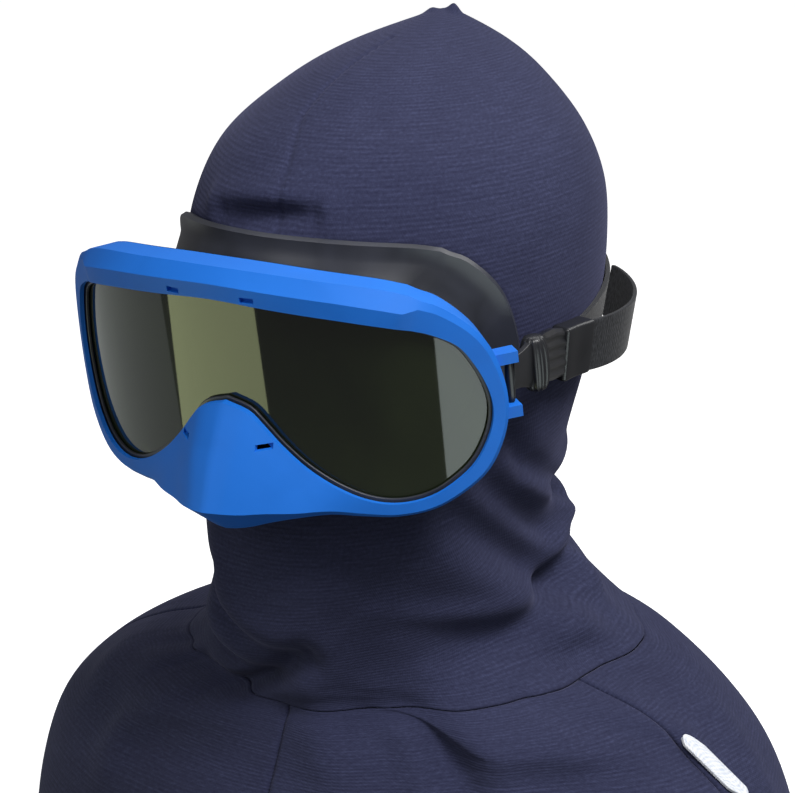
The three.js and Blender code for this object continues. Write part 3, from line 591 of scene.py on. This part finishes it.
# The seal's edge: how much further round than the rim, its lowest place as a share of the lens's
# half height, and millimetres for each degree there.
FLANGE_TURN = 1.29
FLANGE_LOW = -0.98
FLANGE_DEGREE = 1.5


def flange_edge(ring):
    """The seal's outer edge on the cloth, in degrees and millimetres up in the goggles' frame."""
    turn = np.degrees(ring[:, 2] * LENS_ARC / LENS_RADIUS) * FLANGE_TURN
    rim_up = ring[:, 3] * LENS_UP
    return turn, np.maximum(rim_up + np.where(rim_up > 0, -1.5, 0), FLANGE_LOW * LENS_UP)


def under_flange(local):
    """How far inside the seal's outer edge each point lies, in millimetres, with a minus outside."""
    turn, up = flange_edge(smooth_ring(4))
    turn = turn * FLANGE_DEGREE
    bearing, reach = np.arctan2(up, turn), np.hypot(up, turn)
    order = np.argsort(bearing)
    point_turn = np.degrees(np.arctan2(local[:, 0], -local[:, 1])) * FLANGE_DEGREE
    at = np.arctan2(local[:, 2], point_turn)
    edge = np.interp(at, bearing[order], reach[order], period=2 * np.pi)
    return edge - np.hypot(local[:, 2], point_turn)


# The eye opening in the goggles' frame: half width, half height and the height of its middle.
EYE = (59, 31, 9)


def to_eye_edge(x, up):
    """The place on the eye opening's rounded outline nearest to a point, and if the point is inside."""
    middle = np.clip(x, EYE[1] - EYE[0], EYE[0] - EYE[1])
    dx, dz = x - middle, up - EYE[2]
    away = np.maximum(np.hypot(dx, dz), 1e-6)
    return middle + dx / away * EYE[1], EYE[2] + dz / away * EYE[1], away < EYE[1]


# The cloth's mean distance from the upright axis and its length, in millimetres, for its UV map.
MEAN_REACH = 90
CLOTH_DROP = 352


def cloth_panel(turns, span, across, down):
    """A grid of the cloth's outer face over a range of degrees and of t, with UVs in millimetres."""
    bm, flat = new_grid(across, down)
    around = turns[0] + (turns[1] - turns[0]) * flat[:, 0]
    t = span[0] + (span[1] - span[0]) * flat[:, 1]
    size = (math.radians(turns[1] - turns[0]) * MEAN_REACH, (span[1] - span[0]) * CLOTH_DROP)
    lay_out(bm, flat, hood_points(around, t), size)
    return bm


def face_out(bm):
    """Turns the cloth's faces away from the upright axis through the head."""
    bmesh.ops.recalc_face_normals(bm, faces=bm.faces)
    total = 0.0
    for face in bm.faces:
        middle = face.calc_center_median()
        total += face.normal.x * middle.x + face.normal.y * (middle.y - 0.012)
    if total < 0:
        bmesh.ops.reverse_faces(bm, faces=bm.faces)
    bm.normal_update()


def seam_line(bm, points, width, depth):
    """Presses a sewn seam's groove into a mesh along points, pulled toward the cloth's inside."""
    path = np.array(points) * MM
    bm.normal_update()
    for vert in bm.verts:
        place = np.array(vert.co)
        nearest = np.sqrt(((path - place) ** 2).sum(1)).min() / MM
        if nearest < 3 * width:
            vert.co -= vert.normal * depth * MM * math.exp(-((nearest / width) ** 2))


def line_points(places, step=0.8):
    """Points on the cloth along a line of (degrees, millimetres down) places."""
    places = np.array(places, float)
    t_of = np.linspace(0.001, 1, 4000)
    down_of = rows_at(t_of)[:, 0]
    lengths = np.hypot(np.diff(places[:, 0]) * 1.3, np.diff(places[:, 1]))
    at = np.concatenate([[0], np.cumsum(lengths)])
    steps = np.arange(0, at[-1], step)
    around = np.interp(steps, at, places[:, 0])
    t = np.interp(np.interp(steps, at, places[:, 1]), down_of, t_of)
    return hood_points(around, t)


# Sewn seams on the hood, in degrees round it and millimetres down.
FOREHEAD_SEAM = [(-9, -4), (-9, 10), (-8, 17), (-4, 22), (-1, 28), (1, 34), (2, 44), (0, 60)]
NAPE_SEAM = [(180, -4), (180, 40), (180, 120), (180, 200), (180, 240)]
# The crown's tuft: two small bumps, with their places, rise and spread in millimetres.
TUFT = ((-3.9, 38.0, 1.4), (3.9, 42.8, 3.2))
TUFT_SPREAD = 2.6
# How far the goggles' flange presses the cloth in, in millimetres.
PRESSED = 2.2


def build_hood(knit):
    """The hood's head and neck, with its eye opening, centre seams and crown tuft."""
    bm = cloth_panel((0, 360), (0.0, COLLAR - 0.0004), 320, 300)
    bmesh.ops.remove_doubles(bm, verts=bm.verts, dist=2e-6)
    face_out(bm)
    local = placed(TO_GOGGLES, np.array([vert.co for vert in bm.verts]) / MM)
    pressed = np.clip((under_flange(local) + 1) / 7, 0, 1) * PRESSED
    for vert, depth in zip(bm.verts, pressed):
        if depth > 0 and vert.co.y < 0:
            vert.co -= vert.normal * float(depth) * MM
    inside = to_eye_edge(local[:, 0], local[:, 2])[2] & (local[:, 1] < -40)
    bm.verts.ensure_lookup_table()
    gone = [face for face in bm.faces if all(inside[vert.index] for vert in face.verts)]
    rim = {vert for face in gone for vert in face.verts}
    bmesh.ops.delete(bm, geom=gone, context="FACES")
    rim = [vert for vert in rim if vert.is_valid and vert.is_boundary]
    for vert in rim:
        point = placed(TO_GOGGLES, np.array(vert.co) / MM)
        x, up, _ = to_eye_edge(point[0], point[2])
        vert.co = Vector(placed(TO_HOOD, np.array([float(x), point[1], float(up)])) * MM)
    for vert in bm.verts:
        for x, y, rise in TUFT:
            away = math.hypot(vert.co.x - x * MM, vert.co.y - y * MM) / MM
            if vert.co.z > 0 and away < 9:
                vert.co.z += rise * MM * math.exp(-((away / TUFT_SPREAD) ** 2))
    for seam in (FOREHEAD_SEAM, NAPE_SEAM):
        seam_line(bm, line_points(seam), 1.1, 1.1)
    return finish_cloth(add_piece("knit_hood", bm, knit, "hood_head"))


def finish_cloth(piece):
    """Gives a cloth face the thickness of its two plies, inward."""
    thickness = bpy.context.scene.hood_sizes.cloth
    add_modifier(piece, "SOLIDIFY", thickness=thickness, offset=-1, use_even_offset=False)
    return piece


# The shoulder seams' place in degrees, and the gap in degrees and the turn-in in millimetres there.
SHOULDER = 80
SEAM_GAP = 0.015
TURN_IN = 0.9


def build_bib(knit):
    """The bib's two front panels and its back, each turned in a little at its sewn edges."""
    for name, node, turns in (
        ("knit_bib_front_left", "bib_front_left", (0, SHOULDER)),
        ("knit_bib_front_right", "bib_front_right", (-SHOULDER, 0)),
        ("knit_bib_back", "bib_back", (SHOULDER, 360 - SHOULDER)),
    ):
        columns = int((turns[1] - turns[0]) * 1.1)
        bm = cloth_panel((turns[0] + SEAM_GAP, turns[1] - SEAM_GAP), (COLLAR + 0.0004, 1.0), columns, 130)
        face_out(bm)
        for vert in [vert for vert in bm.verts if vert.is_boundary and vert.co.z > -0.36]:
            vert.co -= vert.normal * TURN_IN * MM
        finish_cloth(add_piece(name, bm, knit, node))


def lens_block(across, up, proud):
    """A block on the goggles between two arcs across, two heights and two depths ahead of the lens."""
    bm = bmesh.new()
    bmesh.ops.create_cube(bm, size=1)
    for vert in bm.verts:
        pick = [0 if value < 0 else 1 for value in vert.co]
        point = on_lens(across[pick[0]], up[pick[2]], proud[pick[1]])
        vert.co = Vector(placed(TO_HOOD, point) * MM)
    bmesh.ops.recalc_face_normals(bm, faces=bm.faces)
    return bm


def joined(bm, others, operation):
    """A form with others added to it or cut from it, through a Boolean that is applied here."""
    items = [new_object(f"form {i}", form) for i, form in enumerate([bm] + others)]
    for item in items[1:]:
        add_modifier(items[0], "BOOLEAN", object=item, operation=operation, solver="EXACT")
    shaped = items[0].evaluated_get(bpy.context.evaluated_depsgraph_get())
    result = bmesh.new()
    result.from_mesh(shaped.to_mesh())
    for item in items:
        mesh = item.data
        bpy.data.objects.remove(item)
        bpy.data.meshes.remove(mesh)
    return result


# Slots in the frame, as places across and up in shares of the lens's half sizes, with how far
# ahead of the lens each cut starts. Other sizes here are in millimetres.
SLOTS = ((0.155, 1.045, 3.8), (0.165, -0.38, 4.4))
SLOT_WIDTH = 5.5
SLOT_HEIGHT = 2.2
SLOT_DEEP = 20
# Lugs for the swivel clip, above and below it.
LUGS = (0.27, -0.26)
LUG_ACROSS = 1.03 * LENS_ARC
LUG_LENGTH = 9
LUG_THICK = 4.5
LUG_DEPTHS = (-6, 0.5)
# The moulded wall, and the ledge behind the opening that holds the lens.
WALL = 2.2
WALL_MOST = 0.45
LEDGE = 2.1


def build_frame(nylon):
    """The goggles' moulded frame: brow bar, rim and nose bridge, with slots and lugs."""
    ring = smooth_ring(4)
    proud = ring[:, 4:7] * LENS_RADIUS
    wall = np.minimum(WALL / ring[:, 8], WALL_MOST)
    middle = proud[:, 0] * 0.42 + proud[:, 1] * 0.58
    rim = np.ones(len(ring))
    rows = [
        (0 * rim, proud[:, 0]),
        (ring[:, 7] / 2, middle),
        (ring[:, 7], proud[:, 1]),
        (rim, proud[:, 2]),
        (rim, -FRAME_DEPTH * rim),
        (1 - wall, -FRAME_DEPTH * rim),
        (1 - wall, np.minimum(LEDGE, proud[:, 2] - 1.1)),
        (np.minimum(ring[:, 7], 1 - wall * 1.4), np.maximum(proud[:, 1] - WALL, LEDGE)),
        (ring[:, 7] / 2, np.maximum(middle - WALL, LEDGE)),
        (0 * rim, LEDGE * rim),
    ]
    bm = tube(np.stack([at_station(ring, share, ahead) for share, ahead in rows], 1), True, TO_HOOD)
    lugs, slots = [], []
    for side in (-1, 1):
        for up in LUGS:
            across = (side * LUG_ACROSS, side * (LUG_ACROSS + LUG_LENGTH))
            heights = (up * LENS_UP - LUG_THICK / 2, up * LENS_UP + LUG_THICK / 2)
            lugs.append(lens_block(across, heights, LUG_DEPTHS))
        for place, up, ahead in SLOTS:
            centre = side * place * LENS_ARC
            across = (centre - SLOT_WIDTH / 2, centre + SLOT_WIDTH / 2)
            heights = (up * LENS_UP - SLOT_HEIGHT / 2, up * LENS_UP + SLOT_HEIGHT / 2)
            slots.append(lens_block(across, heights, (ahead, ahead + SLOT_DEEP)))
    bm = joined(joined(bm, lugs, "UNION"), slots, "DIFFERENCE")
    add_bevel(add_piece("moulded_frame", bm, nylon, "goggle_frame"), 0.55, 2, 0.45)


def build_gasket(rubber):
    """The soft bead between the lens and the frame."""
    ring = smooth_ring(4)
    inner, outer = -1.3 / ring[:, 8], 2.2 / ring[:, 8]
    rows = [(inner, 1.5), (outer, 1.5), (outer, 0.3), (inner, 0.3)]
    sections = [at_station(ring, share, ahead) for share, ahead in rows]
    bm = tube(np.stack(sections, 1), True, TO_HOOD)
    add_bevel(add_piece("lens_bead", bm, rubber, "lens_gasket"), 0.4, 3, 0.45)


def build_lens(tinted):
    """The lens: one sheet bent round an upright axis, cut to the frame's opening."""
    end, top, bottom = lens_edges(smooth_ring(4), 2.0)
    end = end - 0.6
    bm, flat = new_grid(180, 60)
    across = (flat[:, 0] * 2 - 1) * end
    high = np.interp(np.abs(across), *top)
    low = np.interp(np.abs(across), *bottom)
    points = on_lens(across, low + (high - low) * flat[:, 1], 0)
    lay_out(bm, flat, placed(TO_HOOD, points), (2 * end, 2 * LENS_UP))
    bmesh.ops.recalc_face_normals(bm, faces=bm.faces)
    if sum(face.normal.y for face in bm.faces) > 0:
        bmesh.ops.reverse_faces(bm, faces=bm.faces)
    piece = add_piece("curved_lens", bm, tinted, "lens")
    add_modifier(piece, "SOLIDIFY", thickness=bpy.context.scene.hood_sizes.lens, offset=-1)


# How far the seal lies off the frame and the cloth, in millimetres.
LAY = 0.3
# How far in from the seal's outer edge its underside ends, and four places on the flange, knee
# first: how far in each lies and how far off the cloth, in millimetres.
FLANGE_WIDE = 15
FLANGE = ((FLANGE_WIDE, 5), (4.5, 2.6), (1.5, 3.6), (0, 1.8))


def build_seal(rubber):
    """The rubber seal: from behind the frame back to a flange that lies on the hood."""
    ring = smooth_ring(3)
    wall = np.minimum(WALL / ring[:, 8], WALL_MOST)
    low = np.maximum(ring[:, 3] * LENS_UP, FLANGE_LOW * LENS_UP - WALL)
    front = []
    for share in (np.ones(len(ring)), 1 - wall * 1.2):
        points = at_station(ring, share, -FRAME_DEPTH - LAY)
        points[:, 2] = np.maximum(points[:, 2], low)
        front.append(points)
    turn, up = flange_edge(ring)
    reach = np.maximum(np.hypot(up, np.radians(turn) * LENS_RADIUS / 2), 16)

    def on_flange(inward, off):
        share = 1 - inward / reach
        return cloth_at(TO_GOGGLES, turn * share, up * share, off)

    knee, dip, bead, edge = (on_flange(*place) for place in FLANGE)
    sections = [
        front[0], (front[0] + knee) / 2, knee, (edge + knee) / 2, dip, bead, edge,
        on_flange(0, LAY), on_flange(FLANGE_WIDE, LAY), front[1],
    ]
    bm = tube(np.stack(sections, 1), True, TO_HOOD)
    add_bevel(add_piece("rubber_seal", bm, rubber, "face_seal"), 0.7, 2, 0.5)


def band(turns, steps, at, size):
    """A band along the cloth: at gives its middle's height, half width, and inner and outer height."""
    share = np.linspace(0, 1, steps + 1)
    angle = turns[0] + (turns[1] - turns[0]) * share
    up, half, inner, outer = at(angle, share)
    corners = [(up + half, inner), (up + half, outer), (up - half, outer), (up - half, inner)]
    sections = np.stack([cloth_at(LEVEL, angle, high, off) for high, off in corners], 1)
    return tube(sections, False, LEVEL, size)


# The strap and its fittings, in millimetres, with their ends in degrees round the head.
STRAP_DROP = 110
STRAP_FROM = 98.4
STRAP_RISE = 16
STRAP_HALF = 10.25
LOOP_TO = 134
LOOP_LOW = 2.75
LOOP_BOW = 11
LOOP_THICK = 1.6
SLIDER_TURNS = (84, 98)
SLIDER_HALF = 10.6
SLIDER_UP = 2 - STRAP_DROP
SIDE_NAMES = {1: "left", -1: "right"}


def strap_up(angle):
    """The strap's height: it rises to the back of the head, in line with the tilted goggles."""
    share = (np.abs(angle) - STRAP_FROM) / (360 - 2 * STRAP_FROM)
    return STRAP_RISE * np.sin(np.pi * share) - STRAP_DROP


def build_strap(elastic):
    """The elastic strap round the back of the head."""
    bm = band((STRAP_FROM, 360 - STRAP_FROM), 110,
              lambda angle, share: (strap_up(angle), STRAP_HALF, 0.5, 2.4), (230, 44))
    add_bevel(add_piece("head_strap", bm, elastic, "strap"), 0.5, 2)


def build_loop(elastic, side):
    """The strap's free end, which bows out from the slider and comes back to the strap."""
    def at(angle, share):
        lift = LOOP_LOW + LOOP_BOW * np.clip(np.sin(np.pi * share), 0, 1) ** 0.8
        return strap_up(angle), STRAP_HALF, lift, lift + LOOP_THICK

    bm = band((side * STRAP_FROM, side * LOOP_TO), 40, at, (58, 44))
    name = SIDE_NAMES[side]
    add_bevel(add_piece(f"strap_end_{name}", bm, elastic, f"strap_loop_{name}"), 0.5, 2)


def build_slider(plastic, side):
    """The slider that the strap threads through: a rounded block with a shallow thumb rest."""
    bm = band([side * turn for turn in SLIDER_TURNS], 12, lambda angle, share: (
        SLIDER_UP, SLIDER_HALF, 1.5, 10 - 0.7 * np.sin(np.pi * share) ** 2), (20, 70))
    name = SIDE_NAMES[side]
    piece = add_piece(f"strap_slider_{name}", bm, plastic, f"slider_{name}")
    add_bevel(piece, 1.5, 4)


# The label's middle in degrees, its distance below the crown and its sizes in millimetres.
LABEL_AROUND = 91.5
LABEL_DOWN = 268
LABEL_WIDTH = 10
LABEL_HALF = 10


def build_label(cotton):
    """The bare folded label in the shoulder seam."""
    wide = math.degrees(LABEL_WIDTH / HOOD_ROWS[-1, 3]) / 2
    bm = band((LABEL_AROUND - wide, LABEL_AROUND + wide), 16, lambda angle, share: (
        -LABEL_DOWN - 2 * share, LABEL_HALF * np.sin(np.pi * (0.24 + 0.52 * share)),
        0.4, 1.6 + 1.0 * np.sin(np.pi * share)), (14, 48))
    add_bevel(add_piece("shoulder_label", bm, cotton, "seam_label"), 0.3, 2)


def add_barrel(bm, middle, radius, depth, ridge):
    """A rounded barrel that leans with the goggles, with upright ribs as deep as the ridge."""
    made = bmesh.ops.create_uvsphere(bm, u_segments=48, v_segments=20, radius=1)
    lean = Matrix.Translation(Vector(middle) * MM) @ Matrix.Rotation(math.radians(10), 4, "X")
    for vert in made["verts"]:
        x, y, z = vert.co
        reach = max(math.hypot(x, y), 0.001)
        groove = ridge * (round(math.atan2(y, x) / math.tau * 48) // 2 % 2)
        wide = (radius - groove) * reach**-0.6
        vert.co = lean @ (Vector((x * wide, y * wide, z * depth / 2)) * MM)


# The swivel clip's arm: half height, ribs and thickness along it, each as places and values.
CLIP_HALF = ([0, 0.12, 0.3, 0.75, 1], [6.4, 6.8, 9, 10.2, 9.4])
CLIP_RIBS = ([0, 0.5, 0.55, 0.9, 1], [0, 0, 1, 1, 0])
CLIP_THICK = ([0, 0.2, 1], [2.6, 3.6, 5])
CLIP_STATIONS = 29
# How far the arm bows out, ahead and up between its ends.
CLIP_BOW = (3.5, -2, 4)
# The pin: across from the lugs' start, up and ahead of the lens, then its radius, height and ribs.
PIN_AT = (6, 0.2, -4.5)
PIN = (1.8, 18, 0)
# The ribbed knob: its station on the arm, its middle off the arm, then its radius, height and ribs.
KNOB_AT = 10
KNOB_OFF = 2.6
KNOB = (5.6, 22, 0.45)


def build_clip(plastic, side):
    """The swivel clip: its pin between the frame's lugs, a ribbed barrel and an arm to the slider."""
    pin = placed(TO_HOOD, on_lens(side * (LUG_ACROSS + PIN_AT[0]), *PIN_AT[1:]))
    start = pin + np.array([0, 0, 2.6])
    end = cloth_at(LEVEL, np.array([side * (SLIDER_TURNS[0] + 1.0)]), SLIDER_UP, 3.5)[0]
    bend = (start + end) / 2 + np.array([side * CLIP_BOW[0], *CLIP_BOW[1:]])
    share = np.linspace(0, 1, CLIP_STATIONS)
    s = share[:, None]
    path = (1 - s) ** 2 * start + 2 * s * (1 - s) * bend + s**2 * end
    run = np.gradient(path, axis=0)
    out = np.stack([run[:, 1], -run[:, 0], np.zeros(len(s))], 1) * side
    out = out / np.linalg.norm(out, axis=1, keepdims=True)
    high = np.linspace(1, -1, 25)
    half = np.interp(share, *CLIP_HALF)
    ribs = 0.6 * np.cos(high * np.pi * 5) * np.interp(share, *CLIP_RIBS)[:, None]
    thick = np.interp(share, *CLIP_THICK)[:, None] * (1 - 0.25 * high**4) + ribs
    upright = half[:, None, None] * high[:, None] * np.array([0, 0, 1.0])
    face = path[:, None] + upright + out[:, None] * thick[..., None]
    rear = (path[:, None] + upright + out[:, None] * 0.6)[:, ::-1]
    bm = tube(np.concatenate([face, rear], 1), False, LEVEL)
    add_barrel(bm, path[KNOB_AT] + out[KNOB_AT] * KNOB_OFF, *KNOB)
    add_barrel(bm, pin + out[0] * 0.6, *PIN)
    name = SIDE_NAMES[side]
    add_bevel(add_piece(f"swivel_clip_{name}", bm, plastic, f"clip_{name}"), 0.5, 2)


# The stage, in metres: the point that the lights face, and the floor just under the hem.
MIDDLE = (0, 0, -0.12)
FLOOR_UP = -0.382
# Soft boxes: name, place, size and watts.
LIGHTS = (
    ("key", (0.62, -0.36, 0.74), (0.46, 0.46), 11.6),
    ("front fill", (-0.3, -1.5, 0.7), (0.9, 0.9), 4.6),
    ("rim", (0.6, 1.1, 0.9), (0.9, 0.9), 9),
)
# Cards that show only as reflections: name, degrees round, width, watts, colour and roll in degrees.
CARDS = (
    ("left reflector", -86, 0.58, 0.34, "#dfe8e6", 0),
    ("near reflector", -36, 0.36, 1.9, "#ccd6a2", 0),
    ("right reflector", 73, 0.5, 2.3, "#d9e6e4", 22),
)
CARD_REACH = 0.5
CARD_UP = -0.42
# The photo's camera: its place in metres, its turn in degrees and its lens in millimetres.
CAMERA_PLACE = (0.811447, -1.312660, 0.289507)
CAMERA_TURN = (74.468, 0, 31.603)
CAMERA_LENS = 4032 / 795 * 36


def area_light(name, place, size, power, colour="#ffffff"):
    """A soft box at a place in metres that faces the object's middle."""
    data = bpy.data.lights.new(name, "AREA")
    data.shape = "RECTANGLE"
    data.size, data.size_y = size
    data.energy = power
    data.color = to_linear(colour)[:3]
    item = bpy.data.objects.new(name, data)
    item.location = place
    item.rotation_euler = (Vector(MIDDLE) - Vector(place)).to_track_quat("-Z", "Y").to_euler()
    bpy.context.scene.collection.objects.link(item)
    return item


def build_world(scene):
    """A surround that is white to the camera and dim as a light."""
    world = bpy.data.worlds.new("studio")
    world.use_nodes = True
    tree = world.node_tree
    back = tree.nodes["Background"]
    back.inputs["Color"].default_value = to_linear("#ffffff")
    seen = add_node(tree, "ShaderNodeLightPath").outputs["Is Camera Ray"]
    tree.links.new(scaled(tree, seen, 0.83, 0.17), back.inputs["Strength"])
    scene.world = world


def build_stage():
    """Pale floor, white surround, soft boxes and the camera."""
    scene = bpy.context.scene
    scene.view_settings.view_transform = "Standard"
    build_world(scene)
    material, tree, shader = new_material("pale paper floor")
    set_shader(shader, Base_Color=to_linear("#f4f4f5"), Roughness=0.9, Emission_Strength=0.8)
    shader.inputs["Emission Color"].default_value = to_linear("#ffffff")
    bm = bmesh.new()
    bmesh.ops.create_circle(bm, cap_ends=True, segments=64, radius=4.0)
    for vert in bm.verts:
        vert.co.z = FLOOR_UP
    floor = new_object("floor", bm)
    floor.data.materials.append(material)
    floor.visible_diffuse = False
    floor.visible_glossy = False
    for name, place, size, power in LIGHTS:
        area_light(name, place, size, power)
    cards = [area_light("satin strip", (-0.25, 0.4, 0.85), (0.7, 0.3), 2.4)]
    for name, azimuth, wide, power, colour, roll in CARDS:
        turn = math.radians(azimuth)
        place = (CARD_REACH * math.sin(turn), -CARD_REACH * math.cos(turn), CARD_UP)
        cards.append(area_light(name, place, (wide, 0.5), power, colour))
        cards[-1].rotation_euler.rotate_axis("Z", math.radians(roll))
    for card in cards:
        card.visible_diffuse = False
        card.visible_camera = False
    data = bpy.data.cameras.new("photo camera")
    data.sensor_width = 36
    data.sensor_fit = "HORIZONTAL"
    data.lens = CAMERA_LENS
    data.clip_end = 20
    camera = bpy.data.objects.new("photo camera", data)
    camera.location = CAMERA_PLACE
    camera.rotation_euler = [math.radians(turn) for turn in CAMERA_TURN]
    scene.collection.objects.link(camera)
    scene.camera = camera


FINISHES = {
    "knit": lambda colours: knit_material(colours.knit, colours.knit_light, colours.knit_dark),
    "nylon": lambda colours: moulded_material(
        "moulded blue nylon", [(0.2, colours.frame), (0.8, colours.frame_light)], 0.5, 0.6, 0.05,
        IOR=1.53, Specular_IOR_Level=0.22),
    "rubber": lambda colours: moulded_material(
        "satin black thermoplastic rubber", [(0.2, "#22242b"), (0.8, colours.rubber)], 0.34, 0.5, 0.04,
        IOR=1.5),
    "plastic": lambda colours: moulded_material(
        "moulded black acetal", [(0.2, "#15161a"), (0.8, "#26272b")], 0.3, 0.7, 0.04, IOR=1.48),
    "lens": lambda colours: lens_material(colours.lens, "#20281a"),
    "elastic": lambda colours: elastic_material("#3a3b40", "#17181b"),
    "label": lambda colours: label_material("#f2f4f8", "#c9d2e2"),
}
MATERIALS = {}


def finish_of(name):
    """One of the object's finishes, made once from the panel's colours."""
    if name not in MATERIALS:
        MATERIALS[name] = FINISHES[name](bpy.context.scene.hood_colours)
    return MATERIALS[name]


def colour_of(name, description, default):
    """A colour that a user would change, as an sRGB hex value."""
    return bpy.props.StringProperty(name=name, description=description, default=default)


def thickness_of(name, description, default, most):
    """A thickness in metres."""
    return bpy.props.FloatProperty(
        name=name, description=description, default=default, min=0.001, max=most, subtype="DISTANCE",
        unit="LENGTH")


class HoodColours(bpy.types.PropertyGroup):
    """Colours that a user would change, as sRGB hex values."""
    knit: colour_of("Knit", "Main colour of the cloth", "#31344f")
    knit_light: colour_of("Knit, light", "Colour of the cloth's lighter streaks", "#464a6b")
    knit_dark: colour_of("Knit, dark", "Colour of the cloth's darker streaks", "#20213a")
    frame: colour_of("Frame", "Colour of the goggle frame", "#1a70d6")
    frame_light: colour_of("Frame, light", "Lighter flow marks in the frame", "#2079e4")
    rubber: colour_of("Rubber", "Colour of the face seal", "#373a46")
    lens: colour_of("Lens", "Tint of the lens", "#3c482a")


class HoodSizes(bpy.types.PropertyGroup):
    """Thicknesses that a user would change."""
    cloth: thickness_of("Cloth", "Thickness of the two plies of cloth", 0.0024, 0.003)
    lens: thickness_of("Lens", "Thickness of the lens", 0.0022, 0.004)


class HOOD_OT_head(bpy.types.Operator):
    """Build the knitted hood with its eye opening"""
    bl_idname = "hood.head"
    bl_label = "Hood"

    def execute(self, context):
        build_hood(finish_of("knit"))
        return {"FINISHED"}


class HOOD_OT_bib(bpy.types.Operator):
    """Build the bib's three panels"""
    bl_idname = "hood.bib"
    bl_label = "Bib"

    def execute(self, context):
        build_bib(finish_of("knit"))
        return {"FINISHED"}


class HOOD_OT_label(bpy.types.Operator):
    """Build the bare label in the shoulder seam"""
    bl_idname = "hood.label"
    bl_label = "Seam label"

    def execute(self, context):
        build_label(finish_of("label"))
        return {"FINISHED"}


class HOOD_OT_frame(bpy.types.Operator):
    """Build the goggles' moulded frame and its lens bead"""
    bl_idname = "hood.frame"
    bl_label = "Goggle frame"

    def execute(self, context):
        build_frame(finish_of("nylon"))
        build_gasket(finish_of("rubber"))
        return {"FINISHED"}


class HOOD_OT_lens(bpy.types.Operator):
    """Build the curved lens"""
    bl_idname = "hood.lens"
    bl_label = "Lens"

    def execute(self, context):
        build_lens(finish_of("lens"))
        return {"FINISHED"}


class HOOD_OT_seal(bpy.types.Operator):
    """Build the rubber face seal"""
    bl_idname = "hood.seal"
    bl_label = "Face seal"

    def execute(self, context):
        build_seal(finish_of("rubber"))
        return {"FINISHED"}


class HOOD_OT_strap(bpy.types.Operator):
    """Build the head strap, its free ends, and the sliders and swivel clips"""
    bl_idname = "hood.strap"
    bl_label = "Strap"

    def execute(self, context):
        build_strap(finish_of("elastic"))
        for side in (1, -1):
            build_loop(finish_of("elastic"), side)
            build_slider(finish_of("plastic"), side)
            build_clip(finish_of("plastic"), side)
        return {"FINISHED"}


class HOOD_OT_stage(bpy.types.Operator):
    """Set out the floor, the lights and the camera"""
    bl_idname = "hood.stage"
    bl_label = "Stage"

    def execute(self, context):
        build_stage()
        return {"FINISHED"}


PIECES = (HOOD_OT_stage, HOOD_OT_head, HOOD_OT_bib, HOOD_OT_label, HOOD_OT_frame, HOOD_OT_lens,
          HOOD_OT_seal, HOOD_OT_strap)


class HOOD_PT_panel(bpy.types.Panel):
    """Lists the hood's pieces, sizes and colours"""
    bl_label = "Arc flash hood"
    bl_idname = "HOOD_PT_panel"
    bl_space_type = "VIEW_3D"
    bl_region_type = "UI"
    bl_category = "Hood"

    def draw(self, context):
        column = self.layout.column()
        for group in (context.scene.hood_sizes, context.scene.hood_colours):
            for key in group.__annotations__:
                column.prop(group, key)
        for piece in PIECES:
            column.operator(piece.bl_idname)


CLASSES = (HoodColours, HoodSizes) + PIECES + (HOOD_PT_panel,)


def register():
    for item in CLASSES:
        bpy.utils.register_class(item)
    bpy.types.Scene.hood_colours = bpy.props.PointerProperty(type=HoodColours)
    bpy.types.Scene.hood_sizes = bpy.props.PointerProperty(type=HoodSizes)


def unregister():
    del bpy.types.Scene.hood_sizes
    del bpy.types.Scene.hood_colours
    for item in reversed(CLASSES):
        bpy.utils.unregister_class(item)


def main():
    register()
    bpy.ops.hood.stage()
    bpy.ops.hood.head()
    bpy.ops.hood.bib()
    bpy.ops.hood.label()
    bpy.ops.hood.frame()
    bpy.ops.hood.lens()
    bpy.ops.hood.seal()
    bpy.ops.hood.strap()


if __name__ == "__main__":
    main()
